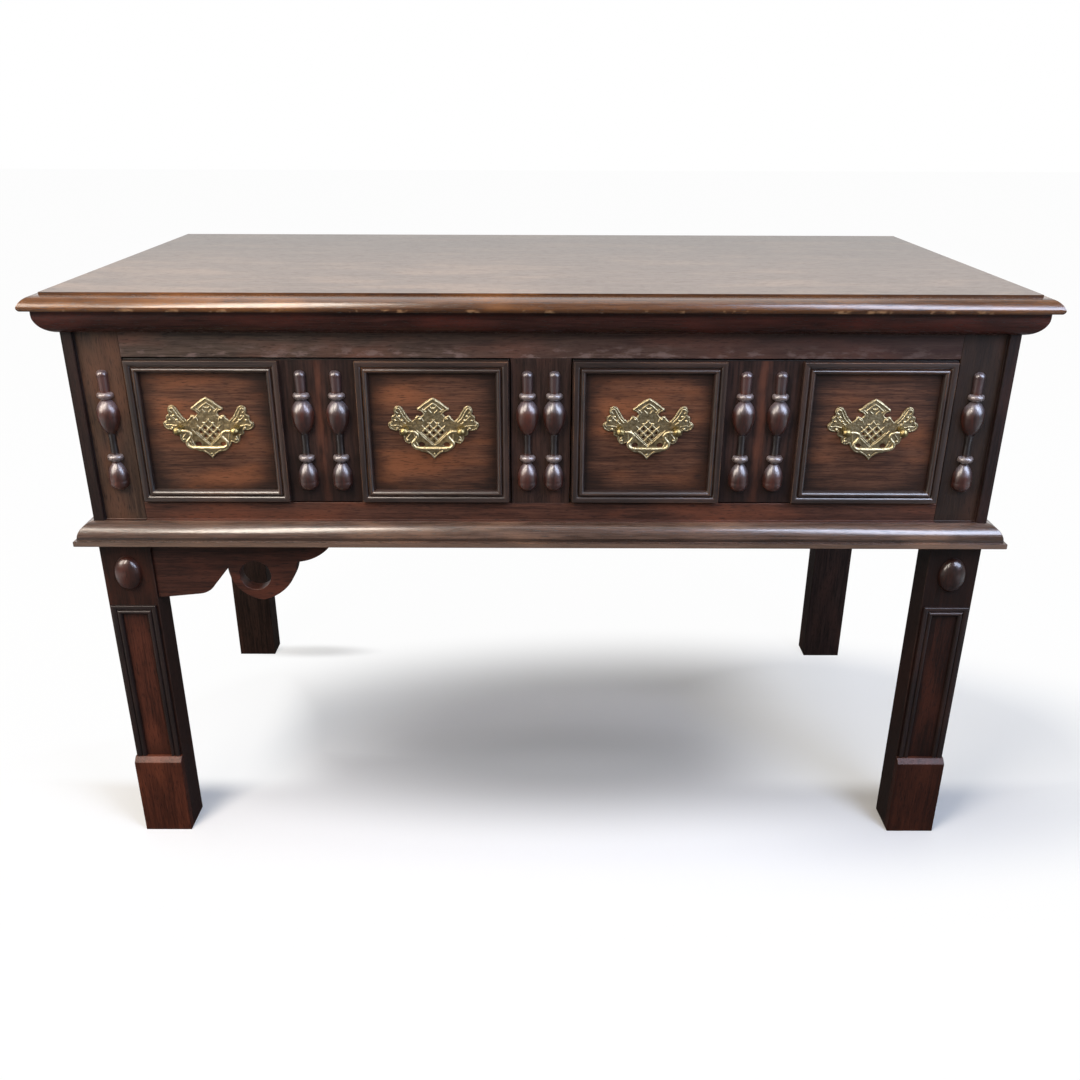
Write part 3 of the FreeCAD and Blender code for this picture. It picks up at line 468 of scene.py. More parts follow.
def line_base(material):
    """Painted shade lies in the corner over the base moulding's lowest fillet, and the fillet gets a
    painted highlight.
    """
    tree = material.node_tree
    height = position(tree)["Z"]
    from_corner = off(tree, height, BASE_CORNER_Z, BASE_CORNER_HALF_HEIGHT)
    # Painted shade in the corner over the fillet.
    lay_over(material, fade(tree, from_corner, *BASE_CORNER_EDGE, high=0.6), linear("#1c120d"))
    # Painted highlight on the fillet.
    lay_over(material, fade(tree, height, *BASE_FILLET_HIGHLIGHT, high=0.3), linear("#8a715f"))


def fade_top(material):
    """Painted reflection: the top is painted warm and light along its front, and greyer and darker at its
    back.
    """
    tree = material.node_tree
    depth = position(tree)["Y"]
    lay_over(material, fade(tree, depth, *TOP_GREYS, high=0.6), linear("#4a4039"))


def brass(name, dull, bright):
    """Cast brass, rubbed bright on its high places and dull and brown in its hollows."""
    material, tree = new_tree(name)
    where = add(tree, "ShaderNodeTexCoord", {}, out="Object")
    depth = add(tree, "ShaderNodeSeparateXYZ", {"Vector": where}, out="Y")
    sunk, raised = BRASS_HIGH_DEPTHS
    high = add(tree, "ShaderNodeMapRange", {"Value": depth, "From Min": sunk, "From Max": raised})
    leaf = add(tree, "ShaderNodeTexVoronoi", {"Vector": where, "Scale": 1 / LEAF_SIZE}, out="Distance")
    cloud = add(tree, "ShaderNodeTexNoise", {"Vector": where, "Scale": 1 / CLOUD_SIZE, "Detail": 4.0})
    rub = add(tree, "ShaderNodeMath", {0: leaf, 1: LEAF_RUB, 2: high}, operation="MULTIPLY_ADD")
    rub = add(tree, "ShaderNodeMath", {0: cloud, 1: CLOUD_RUB, 2: rub}, operation="MULTIPLY_ADD")
    rub_starts, rub_full = RUB_SHOWS
    rub = add(tree, "ShaderNodeMapRange", {"Value": rub, "From Min": rub_starts, "From Max": rub_full})
    colour = mixed(tree, rub, linear(dull), linear(bright))
    roughness = add(tree, "ShaderNodeMapRange", {
        "Value": rub, "To Min": DULL_ROUGHNESS, "To Max": BRIGHT_ROUGHNESS})
    grit = add(tree, "ShaderNodeTexNoise", {"Vector": where, "Scale": 1 / GRIT_SIZE, "Detail": 3.0})
    relief = add(tree, "ShaderNodeMath", {0: leaf, 1: LEAF_DEPTH, 2: grit}, operation="MULTIPLY_ADD")
    bump = add(tree, "ShaderNodeBump", {"Strength": 0.5, "Distance": BRASS_RELIEF, "Height": relief})
    shader = add(tree, "ShaderNodeBsdfPrincipled", {
        "Base Color": colour, "Metallic": 1.0, "Roughness": roughness, "Normal": bump})
    add_surface(tree, shader)
    return material


# Stains from late wood to pores
RAIL_STAIN = ("#322620", "#5c4b41", "#704a3c", "#1f1612")
LOW_RAIL_STAIN = ("#2c1812", "#59382c", "#6b3d2b", "#190e0a")
DARK_STAIN = ("#1c110d", "#3d2b25", "#4a2f26", "#100906")
LEG_STAIN = ("#2b140d", "#522b1f", "#6a3726", "#150a07")
STILE_STAIN = ("#2b1d17", "#4c392d", "#61402f", "#19100c")
FOOT_STAIN = ("#34180f", "#5c2f20", "#703a26", "#1a0c07")
FIELD_STAIN = ("#38231b", "#694635", "#885336", "#27170f")
TOP_STAIN = ("#5c4b40", "#7b685b", "#8a7260", "#43362e")
CORNICE_STAIN = ("#271511", "#492b25", "#5a2d25", "#150a08")
EDGE_STAIN = ("#3d2517", "#65432b", "#865731", "#27160e")
BASE_STAIN = ("#3a2920", "#675045", "#826350", "#21160f")
FRAME_STAIN = ("#1d130f", "#3c2b25", "#4b342b", "#110907")
BOSS_STAIN = ("#1c0e0a", "#3a2019", "#552b20", "#100806")
TURNED_STAIN = ("#230f0a", "#48231a", "#6c3424", "#130806")
CORNER_STAIN = ("#150c0a", "#2c1d1a", "#36211b", "#0c0706")
BRACKET_STAIN = ("#26120d", "#4a2a20", "#5c3022", "#150a07")
WORN_STAIN = ("#2a1a13", "#533a2b", "#7a5438", "#170d09")
INSIDE_STAIN = ("#6d4b2d", "#966b41", "#b38656", "#4a3019")
# Roughness of the smooth wood and of the open wood
WAXED = (0.42, 0.62)
POLISHED = (0.2, 0.36)
SATIN = (0.3, 0.42)
GLAZED = (0.3, 0.45)
BARE = (0.6, 0.75)

# Where a wood's right end is darkened below, that darkening is painted shade.
rail_oak = oak("stained_oak_rail", "x", RAIL_STAIN, WAXED)
wear_rail(rail_oak)
paint_shade_right(rail_oak, 0.55, "#2c1713")
low_rail_oak = oak("stained_oak_low_rail", "x", LOW_RAIL_STAIN, WAXED)
dark_oak = oaks("dark_oak", "xyz", DARK_STAIN, WAXED, specular=0.25)
leg_oak = oak("stained_oak_leg", "z", LEG_STAIN, WAXED, specular=0.25, figure=0.13)
darken_leg(leg_oak)
stile_oak = oak("stained_oak_stile", "z", STILE_STAIN, WAXED, figure=0.2)
paint_shade_right(stile_oak, 0.6)
foot_oak = oak("stained_oak_foot", "z", FOOT_STAIN, WAXED, specular=0.25)
paint_shade_right(foot_oak, 0.5)
drawer_oak = oak("stained_oak_drawer", "x", FIELD_STAIN, WAXED, specular=0.25, figure=0.14)
darken_drawer_front(drawer_oak)
top_oak = oak("stained_oak_top", "x", TOP_STAIN, SATIN, specular=0.5, figure=0.22)
fade_top(top_oak)
cornice_oak = oaks("polished_oak_cornice", "xy", CORNICE_STAIN, POLISHED)
edge_oak = oaks("polished_oak_edge", "xy", EDGE_STAIN, POLISHED, specular=0.5, coat=0.3)
for wood in edge_oak.values():
    chip_edge(wood)
base_oak = oaks("polished_oak_base", "xy", BASE_STAIN, POLISHED, specular=0.5, coat=0.5)
for wood in base_oak.values():
    line_base(wood)
frame_oak = oaks(
    "polished_oak_frame", "xz", FRAME_STAIN, GLAZED, specular=0.6, coat=0.8, coat_roughness=0.28)
for wood in frame_oak.values():
    paint_shade_right(wood, 0.35)
worn_oak = oaks("worn_oak", "xy", WORN_STAIN, WAXED)
bare_oak = oaks("bare_oak", "xy", INSIDE_STAIN, BARE, specular=0.2)
turned_oak = oak("turned_oak", "z", TURNED_STAIN, SATIN, specular=0.5, coat=1.0, coat_roughness=0.32)
paint_turned_light_and_shade(turned_oak)
leg_strip_oak = oaks("dark_oak_leg_strip", "xz", CORNER_STAIN, WAXED, specular=0.4, coat=0.2)
boss_oak = oak("turned_oak_boss", "z", BOSS_STAIN, SATIN, specular=0.4, coat=0.6)
corner_oak = oak("dark_oak_corner", "z", CORNER_STAIN, WAXED, specular=0.25)
bracket_oak = oak("stained_oak_bracket", "x", BRACKET_STAIN, WAXED)
cast_brass = brass("cast_brass", "#66573f", "#b6a886")
bail_brass = brass("rubbed_brass", "#60513a", "#c4b58f")
bolt_brass = brass("dull_brass", "#4a3d2a", "#8f8058")


# The joiner's boards

def block(node, **shoulders):
    """A squared board between its solid's limits or, where it has tenons, between its shoulders."""
    low, high = [list(corner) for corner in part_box(node)]
    for axis, (start, end) in shoulders.items():
        low["xyz".index(axis)] = start
        high["xyz".index(axis)] = end
    bpy.ops.object.select_all(action="DESELECT")
    bpy.ops.mesh.primitive_cube_add(size=1.0, location=(Vector(low) + Vector(high)) / 2)
    piece = bpy.context.object
    piece.name = f"{node}_board"
    piece.scale = Vector(high) - Vector(low)
    settle(piece)
    return piece


def dress(piece, node, body, slot, wood, rubbed, width):
    """Give a board its wood, ease its arrises and put it in its solid's place."""
    piece.data.materials.clear()
    piece.data.materials.append(wood)
    piece.data.materials.append(rubbed)
    rubbed_slot = 1
    ease(piece, width, rubbed_slot)
    finish_piece(piece, body, slot, node)


def profiled(node, wood, rubbed, width):
    """A moulded or shaped board: its solid's own shape with the arrises eased."""
    piece = bpy.data.objects.new(f"{node}_board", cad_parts[node].data.copy())
    bpy.context.scene.collection.objects.link(piece)
    edit_all(piece)
    bpy.ops.mesh.customdata_custom_splitnormals_clear()
    bpy.ops.mesh.remove_doubles(threshold=WELD_DISTANCE)
    bpy.ops.mesh.dissolve_limited(angle_limit=FLAT_ANGLE)
    leave_edit()
    dress(piece, node, "carcass", STAINED, wood, rubbed, width)
    return piece


def front_leg(node):
    """A leg that is cut back between the base moulding and the cornice, but for a strip at its corner."""
    leg = block(node)
    side = 1 if leg.data.vertices[0].co.x > 0 else -1
    overrun = 2 * MM
    across = sorted((side * LEG_INNER_X, side * CORNER_STRIP_X))
    chisel = block(node, x=across, y=(LEG_FRONT_Y - overrun, FACE_Y), z=(BASE_TOP, CORNICE_BOTTOM))
    only(leg)
    notch = leg.modifiers.new("notch", "BOOLEAN")
    notch.object = chisel
    notch.operation = "DIFFERENCE"
    bpy.ops.object.modifier_apply(modifier="notch")
    bpy.data.objects.remove(chisel)
    for height in (BASE_TOP, CORNICE_BOTTOM):
        score(leg, (0, 0, height), (0, 0, 1))
    dress(leg, node, "carcass", STAINED, leg_oak, dark_oak["z"], BROAD_EASE)
    leg.data.materials.append(stile_oak)
    leg.data.materials.append(corner_oak)
    stile_slot = 2
    corner_slot = 3
    strip_begins = CORNER_STRIP_X - BROAD_EASE
    for face in leg.data.polygons:
        if BASE_TOP < face.center.z < CORNICE_BOTTOM:
            face.material_index = corner_slot if abs(face.center.x) > strip_begins else stile_slot


def front_rail(node, wood, lip_edge, lip):
    """A rail with a lip along one half of its face, for a moulding to lie against."""
    rail = block(node, x=(-CASE_INNER_X, CASE_INNER_X), y=(FACE_Y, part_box(node)[1][1]))
    score(rail, (0, 0, lip_edge), (0, 0, 1))
    pull(rail, lambda face: face.normal.y < -FACING and (face.center.z - lip_edge) * lip > 0,
         (0, LEG_FRONT_Y - FACE_Y, 0))
    dress(rail, node, "carcass", STAINED, wood, wood, SLIGHT_EASE)


def rail_pair(node, wood, **shoulders):
    """The upper and the lower rail of one side of the case."""
    rails = [block(node, z=levels, **shoulders) for levels in (LOW_RAIL_LEVELS, HIGH_RAIL_LEVELS)]
    only(rails[0])
    rails[1].select_set(True)
    bpy.ops.object.join()
    dress(rails[0], node, "carcass", STAINED, wood, wood, PLAIN_EASE)


def drawer_front(drawer):
    """A front whose ends are lapped for the drawer's sides."""
    node = f"{drawer}_front"
    low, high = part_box(node)
    left = low[0] + DRAWER_LAP
    right = high[0] - DRAWER_LAP
    front = block(node, y=(FACE_Y, FACE_Y + DRAWER_FACE_THICKNESS))
    for x in (left, right):
        score(front, (x, 0, 0), (1, 0, 0))
    pull(front, lambda face: face.normal.y > FACING and left < face.center.x < right,
         (0, high[1] - FACE_Y - DRAWER_FACE_THICKNESS, 0))
    dress(front, node, drawer, STAINED, drawer_oak, drawer_oak, PLAIN_EASE)


def case_boards():
    top = profiled("top_board", top_oak, worn_oak["x"], SLIGHT_EASE)
    front_edge_slot = 2
    side_edge_slot = 3
    for wood in (edge_oak["x"], edge_oak["y"]):
        top.data.materials.append(wood)
    for face in top.data.polygons:
        if face.center.y < TOP_FLAT_FRONT:
            face.material_index = front_edge_slot
        elif abs(face.center.x) > TOP_FLAT_HALF_WIDTH:
            face.material_index = side_edge_slot
    for part in ("front", "left", "right"):
        grain = "x" if part == "front" else "y"
        profiled(f"cornice_{part}", cornice_oak[grain], cornice_oak[grain], FINE_EASE)
        profiled(f"base_moulding_{part}", base_oak[grain], worn_oak[grain], SLIGHT_EASE)
    for side in SIDES:
        front_leg(f"leg_front_{side}")
        rear = f"leg_rear_{side}"
        dress(block(rear), rear, "carcass", STAINED, dark_oak["z"], dark_oak["z"], BROAD_EASE)
        rail_pair(f"side_rails_{side}", dark_oak["y"], y=SIDE_RAIL_ENDS)
        panel = f"side_panel_{side}"
        dress(block(panel), panel, "carcass", STAINED, dark_oak["y"], dark_oak["y"], FINE_EASE)
        profiled(f"foot_block_{side}", foot_oak, foot_oak, BROAD_EASE)
    front_rail("front_top_rail", rail_oak, CORNICE_BOTTOM, 1)
    front_rail("front_bottom_rail", low_rail_oak, BASE_TOP, -1)
    rail_pair("back_rails", dark_oak["x"], x=(-CASE_INNER_X, CASE_INNER_X))
    muntin = block("centre_muntin", z=MUNTIN_ENDS)
    dress(muntin, "centre_muntin", "carcass", STAINED, dark_oak["z"], dark_oak["z"], SLIGHT_EASE)
    profiled("leg_bracket", bracket_oak, bracket_oak, PLAIN_EASE)


def drawer_boards():
    for drawer in DRAWERS:
        drawer_front(drawer)
        for part, grain in (("side_left", "y"), ("side_right", "y"), ("back", "x")):
            node = f"{drawer}_{part}"
            dress(block(node), node, drawer, INNER, bare_oak[grain], bare_oak[grain], PLAIN_EASE)


# The planted mouldings

# A strip in section, in millimetres from its outer edge: how far across, and how proud.
# An eased outer arris, a broad flat that falls a little, a narrow quirk, and a bold round bead that falls
# to the field.
STRIP_SECTION = [
    (0.0, 6.6), (0.6, 7.3), (1.8, 7.5), (4.2, 7.5), (5.6, 7.2), (6.7, 6.5), (7.5, 5.5), (8.1, 4.2),
    (8.7, 3.9), (9.1, 5.0), (9.7, 6.7), (10.8, 7.7), (12.2, 8.0), (13.6, 7.4), (14.8, 5.8), (15.6, 3.6),
    (16.0, 1.6),
]
# A leg's strips are narrower and flatter.
LEG_STRIP_WIDTH_SHARE = 13 / 16
LEG_STRIP_PROUD_SHARE = 5 / 8


def mitred_frame(name, centre, width, height, face_y, across_share, proud_share):
    """A frame raised from one flat face. Each inset follows the section, so the corners mitre."""
    section = [(across * across_share * MM, proud * proud_share * MM) for across, proud in STRIP_SECTION]
    middle = Vector((centre[0], face_y, centre[1]))
    bpy.ops.object.select_all(action="DESELECT")
    bpy.ops.mesh.primitive_plane_add(size=1.0, location=middle, rotation=(QUARTER_TURN, 0, 0))
    piece = bpy.context.object
    piece.name = name
    piece.scale = (width, height, 1.0)
    settle(piece)
    edit_all(piece)
    bpy.ops.mesh.select_mode(type="FACE")
    bpy.ops.mesh.extrude_region_move(TRANSFORM_OT_translate={"value": (0, -section[0][1], 0)})
    for (here, low), (there, high) in zip(section, section[1:]):
        bpy.ops.mesh.inset(thickness=there - here, depth=high - low)
    bpy.ops.mesh.extrude_region_move(TRANSFORM_OT_translate={"value": (0, section[-1][1], 0)})
    leave_edit()
    edit_faces(piece, lambda face: (face.center - middle).length < NEAR)
    bpy.ops.mesh.delete(type="FACE")
    bpy.ops.mesh.select_mode(type="EDGE")
    bpy.ops.mesh.select_non_manifold()
    bpy.ops.mesh.bridge_edge_loops()
    bpy.ops.mesh.select_all(action="SELECT")
    bpy.ops.mesh.normals_make_consistent(inside=False)
    leave_edit()
    return piece


def dress_frame(piece, centre, width, height, woods, rubbed):
    """Ease the arrises, then run the grain along each strip."""
    for wood in (woods["x"], woods["z"], rubbed):
        piece.data.materials.append(wood)
    level_slot = 0
    upright_slot = 1
    rubbed_slot = 2
    ease(piece, HAIR_EASE, rubbed_slot)
    for face in piece.data.polygons:
        beside = abs(face.center.x - centre[0]) - width / 2
        above = abs(face.center.z - centre[1]) - height / 2
        if face.material_index != rubbed_slot:
            face.material_index = upright_slot if beside > above else level_slot


def drawer_frames():
    for node, x in zip(FRAME_NODES, FIELD_XS):
        centre = (x, FRONT_MIDDLE_Z)
        piece = mitred_frame(f"{node}_moulding", centre, FRAME_WIDTH, FRAME_HEIGHT, FACE_Y, 1.0, 1.0)
        # The drawer frames' eased arrises take the paler worn oak: partly wear, and partly a painted
        # highlight along the arrises.
        dress_frame(piece, centre, FRAME_WIDTH, FRAME_HEIGHT, frame_oak, worn_oak["x"])
        finish_piece(piece, node[:node.index("_frame")], STAINED, node)


def leg_frames():
    """A leg's frame stands on the foot block, so its lowest strip is sawn off."""
    width = LEG_FRAME_WIDTH
    below = 40 * MM
    height = LEG_FRAME_TOP - FOOT_HEIGHT + below
    for side, name in zip((-1, 1), SIDES):
        centre = (side * LEG_X, LEG_FRAME_TOP - height / 2)
        node = f"leg_panel_moulding_{name}"
        piece = mitred_frame(f"{node}_strips", centre, width, height, LEG_FRONT_Y,
                             LEG_STRIP_WIDTH_SHARE, LEG_STRIP_PROUD_SHARE)
        edit_all(piece)
        bpy.ops.mesh.bisect(
            plane_co=(0, 0, FOOT_HEIGHT), plane_no=(0, 0, 1), use_fill=True, clear_inner=True)
        leave_edit()
        dress_frame(piece, centre, width, height, leg_strip_oak, leg_strip_oak["z"])
        finish_piece(piece, "carcass", STAINED, node)


# Brass backplates

# Right half of a plate's outline from its pendant to its peak, in millimetres from the line between its
# bolts. A sharp point turns a corner, a round one lies on a curve.
SHARP = "VECTOR"
ROUND = "AUTO"
PLATE_HALF = [
    (0, -41, SHARP), (5, -35, ROUND), (11.5, -31.5, SHARP), (18, -30, ROUND), (24.5, -24, ROUND),
    (27.5, -18.5, SHARP), (33, -20, ROUND), (38, -15.5, ROUND), (39, -10, SHARP), (43.5, -8, ROUND),
    (44, -2.5, SHARP), (50.5, -2.5, ROUND), (56.5, 1, ROUND), (57.5, 7, ROUND), (53, 10.5, SHARP),
    (53, 16, ROUND), (49, 19, SHARP), (50, 24.5, ROUND), (47, 29.5, ROUND), (41.5, 29.5, ROUND),
    (37, 24, ROUND), (32, 15.5, ROUND), (27, 10.5, SHARP), (23.5, 13.5, ROUND), (20.5, 17.8, ROUND),
    (15.5, 16.5, ROUND), (12.5, 19.5, SHARP), (15, 22.5, ROUND), (20.5, 25.5, ROUND), (16, 30, ROUND),
    (6, 38, ROUND), (0, 41, SHARP),
]
EYE = [(12, -21, ROUND), (16.5, -18, ROUND), (20, -21.5, ROUND), (16, -25, ROUND)]
# The chequer between the bolts: small diamonds cut through, and beads on the bars where they cross.
CHEQUER = 5.4
DIAMOND_HALF = 2.3
DIAMONDS = [(-1, 0), (1, 0), (-2, -1), (0, -1), (2, -1), (-1, -2), (1, -2), (0, -3)]
BEADS = [(-1, 1.3), (1, 1.3), (-2, 0), (0, 0), (2, 0), (-1, -1), (1, -1), (0, -2)]
WING_BEADS = [(39.5, 11), (43, 16.5), (48.5, 11), (46, 0.5), (36, -2), (17, 13), (33, -15)]
# Raised lines on the right half, as points along each.
RIDGES = [
    [(19, 25.6), (9.5, 33), (0, 39.2)],
    [(11, 24.5), (5.5, 29.5), (0, 33.5)],
    [(22.5, -1.5), (11.5, -13), (0, -23.5)],
    [(31, 8.5), (37, 15), (41, 22), (44.5, 26.5), (47.5, 23.5), (45, 20.5)],
    [(35, 6.5), (42, 11.5), (47, 17)],
    [(40, 3), (48, 4.5), (54.5, 5), (53, 8)],
    [(29, -6), (34, -12), (36, -17)],
    [(22.5, 12), (20, 15.8), (15.6, 14.6), (13, 10)],
    [(25, -5), (24, -15), (18, -26), (8, -31), (0, -38)],
    [(2, 21), (6, 25)],
    [(0, 25), (4, 29)],
    [(9, 22), (14, 26)],
]
# The chequer's bars, from one end to the other.
BARS = [
    [(-8, -8), (8, 8)],
    [(-5.4, -16.2), (15, 4.2)],
    [(0, -21.6), (17.6, -4)],
    [(-13.5, -2.7), (1.5, 12.3)],
]
PLATE_THICKNESS = 2.0
PEAK_AND_PENDANT_BEADS = [(0, 27), (0, -34)]
RIM_RADIUS = 0.65 * MM
RIM_INSET = 1.3 * MM
SCROLL_RADIUS = 1.0 * MM
BAR_RADIUS = 0.9 * MM
BEAD_RADIUS = 1.9 * MM
BEAD_FLATNESS = 0.9
CURVE_STEPS = 5
SOFT_EDGE_STEPS = 1
RIDGE_STEPS = 2
BAIL_STEPS = 5


def mirrored(points):
    return [(-across, *rest) for across, *rest in points]


def draw_spline(curve, points, closed):
    """One line of a curve through points across and up, each with its kind of corner."""
    spline = curve.splines.new("BEZIER")
    spline.bezier_points.add(len(points) - 1)
    for knot, (across, up, corner) in zip(spline.bezier_points, points):
        knot.co = (across * MM, up * MM, 0)
        knot.handle_left_type = corner
        knot.handle_right_type = corner
    spline.use_cyclic_u = closed


def new_curve(name, flat):
    curve = bpy.data.curves.new(name, "CURVE")
    curve.dimensions = "2D" if flat else "3D"
    curve.resolution_u = CURVE_STEPS
    piece = bpy.data.objects.new(name, curve)
    bpy.context.scene.collection.objects.link(piece)
    return piece


def plate_body():
    """The pierced plate, cast flat with its edges softened."""
    piece = new_curve("plate_body", True)
    curve = piece.data
    draw_spline(curve, PLATE_HALF + mirrored(PLATE_HALF[-2:0:-1]), True)
    draw_spline(curve, EYE, True)
    draw_spline(curve, mirrored(EYE), True)
    for across, up in DIAMONDS:
        x = across * CHEQUER
        z = up * CHEQUER
        half = DIAMOND_HALF
        corners = [(x + half, z), (x, z + half), (x - half, z), (x, z - half)]
        draw_spline(curve, [(*corner, SHARP) for corner in corners], True)
    soft = 0.45 * MM
    curve.fill_mode = "BOTH"
    curve.extrude = PLATE_THICKNESS * MM / 2 - soft
    curve.bevel_depth = soft
    curve.bevel_resolution = SOFT_EDGE_STEPS
    curve.offset = -soft
    piece.location.z = PLATE_THICKNESS * MM / 2
    return piece


def plate_rim():
    """The raised bead that follows the plate's edge."""
    piece = new_curve("plate_rim", True)
    curve = piece.data
    draw_spline(curve, PLATE_HALF + mirrored(PLATE_HALF[-2:0:-1]), True)
    curve.fill_mode = "NONE"
    curve.bevel_depth = RIM_RADIUS
    curve.bevel_resolution = RIDGE_STEPS
    curve.offset = -RIM_INSET
    piece.location.z = PLATE_THICKNESS * MM
    return piece


def plate_ridges(name, lines, radius):
    """Raised scrolls, veins and bars, round and half sunk in the plate."""
    piece = new_curve(name, False)
    curve = piece.data
    for line in lines:
        points = [(across, up, ROUND) for across, up in line]
        draw_spline(curve, points, False)
        draw_spline(curve, mirrored(points), False)
    curve.bevel_depth = radius
    curve.bevel_resolution = RIDGE_STEPS
    curve.use_fill_caps = True
    piece.location.z = PLATE_THICKNESS * MM
    return piece


def plate_beads():
    beads = []
    spots = [(across * CHEQUER, up * CHEQUER) for across, up in BEADS]
    spots += PEAK_AND_PENDANT_BEADS + WING_BEADS + mirrored(WING_BEADS)
    for across, up in spots:
        place = (across * MM, up * MM, PLATE_THICKNESS * MM)
        bpy.ops.mesh.primitive_uv_sphere_add(segments=16, ring_count=10, radius=BEAD_RADIUS, location=place)
        bead = bpy.context.object
        bead.scale.z = BEAD_FLATNESS
        beads.append(bead)
    return beads


def cast_plate():
    """One backplate lying on its back, its bolt line through the origin."""
    bpy.ops.object.select_all(action="DESELECT")
    pieces = [plate_body(), plate_rim()]
    pieces.append(plate_ridges("plate_scrolls", RIDGES, SCROLL_RADIUS))
    pieces.append(plate_ridges("plate_bars", BARS, BAR_RADIUS))
    for piece in pieces:
        only(piece)
        bpy.ops.object.convert(target="MESH")
    pieces += plate_beads()
    for piece in pieces:
        piece.select_set(True)
    bpy.context.view_layer.objects.active = pieces[0]
    bpy.ops.object.join()
    plate = bpy.context.object
    settle(plate)
    plate.data.materials.clear()
    plate.data.materials.append(cast_brass)
    bpy.ops.object.shade_smooth_by_angle(angle=SMOOTH_ANGLE)
    plate.rotation_euler.x = QUARTER_TURN
    settle(plate)
    return plate


def backplates():
    pattern = cast_plate()
    for node, x in zip(PLATE_NODES, FIELD_XS):
        plate = bpy.data.objects.new(f"{node}_casting", pattern.data.copy())
        bpy.context.scene.collection.objects.link(plate)
        plate.location = (x, FACE_Y, HANDLE_Z)
        settle(plate)
        finish_piece(plate, node[:node.index("_plate")], BRASS, node)
    bpy.data.objects.remove(pattern)


# Brass bails

# Right half of a bail, from its pin in the bolt to the middle of its grip, in millimetres from the line
# between the bolts: across, up, and how thick beside its pins.
BAIL_HALF = [
    (38.5, 0, 1.0), (30, 0, 1.0), (23, -0.6, 0.95), (19.4, -4.6, 0.95), (22, -10, 1.0),
    (25.6, -15, 1.05), (23.2, -20.2, 1.15), (15, -22, 1.25), (0, -22.2, 1.35),
]
PIN_RADIUS = 2.1


def cast_bail():
    """One bail hanging from the origin."""
    piece = new_curve("bail_pattern", False)
    curve = piece.data
    line = BAIL_HALF + mirrored(BAIL_HALF[-2::-1])
    draw_spline(curve, [(across, up, ROUND) for across, up, _ in line], False)
    for knot, (_, _, thick) in zip(curve.splines[0].bezier_points, line):
        knot.radius = thick
    curve.bevel_depth = PIN_RADIUS * MM
    curve.bevel_resolution = BAIL_STEPS
    curve.use_fill_caps = True
    only(piece)
    bpy.ops.object.convert(target="MESH")
    bail = bpy.context.object
    bail.data.materials.clear()
    bail.data.materials.append(bail_brass)
    bpy.ops.object.shade_smooth_by_angle(angle=SMOOTH_ANGLE)
    bail.rotation_euler.x = QUARTER_TURN
    settle(bail)
    return bail


def bails():
    pattern = cast_bail()
    for body, node, x in zip(BAIL_BODIES, BAIL_NODES, FIELD_XS):
        bail = bpy.data.objects.new(f"{node}_casting", pattern.data.copy())
        bpy.context.scene.collection.objects.link(bail)
        bail.location = (x, BAIL_Y, HANDLE_Z)
        settle(bail)
        finish_piece(bail, body, BRASS, node)
    bpy.data.objects.remove(pattern)


# Pieces whose solids already have the right shape

def dress_nodes():
    grains = {"drawer_runners": "y", "drawer_kickers": "y", "drawer_stops": "x"}
    for name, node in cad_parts.items():
        if "baluster" in name:
            node.material_slots[0].material = turned_oak
        elif name == "leg_bosses":
            node.material_slots[0].material = boss_oak
        elif name == "back_panel":
            node.material_slots[0].material = worn_oak["x"]
        elif name.endswith(("bolts", "nuts")):
            node.material_slots[0].material = bolt_brass
        elif name in grains or name.endswith("bottom"):
            node.material_slots[0].material = bare_oak[grains.get(name, "x")]


# Stage

FLOOR_SIZE = 30
# Ovals on the floor, each with its centre, its radii and the shares of them between which it fades
SHADOW_OVAL = ((0.22, -0.05), (0.86, 0.37), (0.45, 1.15))
FRONT_OVAL = ((0.1, -0.2), (0.95, 0.22), (0.55, 1.2))
REAR_FOOT_OVAL = ((-0.45, 0.265), (0.14, 0.03), (0.2, 1.1))
PAINTED_SIDE_SHADOW_OVAL = ((0.75, -0.12), (0.5, 0.35), (0.3, 1.2))
PAINTED_SHADOW_OVAL = ((0.05, -0.1), (0.62, 0.18), (0.2, 1.2))
# Where the floor fades to white at the left, at the right and behind, and where its own bounced light rises
LEFT_FADES = (-0.3, -0.5)
RIGHT_FADES = (0.22, 0.5)
BEHIND_FADES = (-0.2, -0.14)
BOUNCE_FADES = (0.8, 1.6)
# How light the room is on dull faces, and in the shine of what faces the front and the back
ROOM_LEVEL = 0.33
FRONT_SHINE = 0.2
BACK_SHINE = 1.05
SHINE_TURNS = (-0.1, 0.6)
WARM_LIGHT = "#fff4e6"
COOL_LIGHT = "#d0e0ff"
PANE_LIGHT = "#dce6ff"
# The photograph's viewpoint: a little above the top, looking down at the front
CAMERA_PLACE = (-2.5 * MM, -1513.3 * MM, 1010.3 * MM)
CAMERA_PITCH = math.radians(23.367)
CAMERA_TURN = math.radians(-0.0892)
CAMERA_ROLL = math.radians(0.187)
SENSOR_WIDTH = 36.0
FOCAL_LENGTH = 34.09


def oval(tree, shape, low=0.0, high=1.0):
    """An oval on the floor that fades from low in its middle to high outside it."""
    centre, radii, fades = shape
    where = add(tree, "ShaderNodeTexCoord", {}, out="Object")
    scale = [1 / radius for radius in radii]
    place = [-middle / radius for middle, radius in zip(centre, radii)]
    drawn = add(tree, "ShaderNodeMapping", {
        "Vector": where, "Location": (*place, 0), "Scale": (*scale, 0)})
    reach = add(tree, "ShaderNodeVectorMath", {0: drawn}, out="Value", operation="LENGTH")
    return fade(tree, reach, *fades, low=low, high=high)


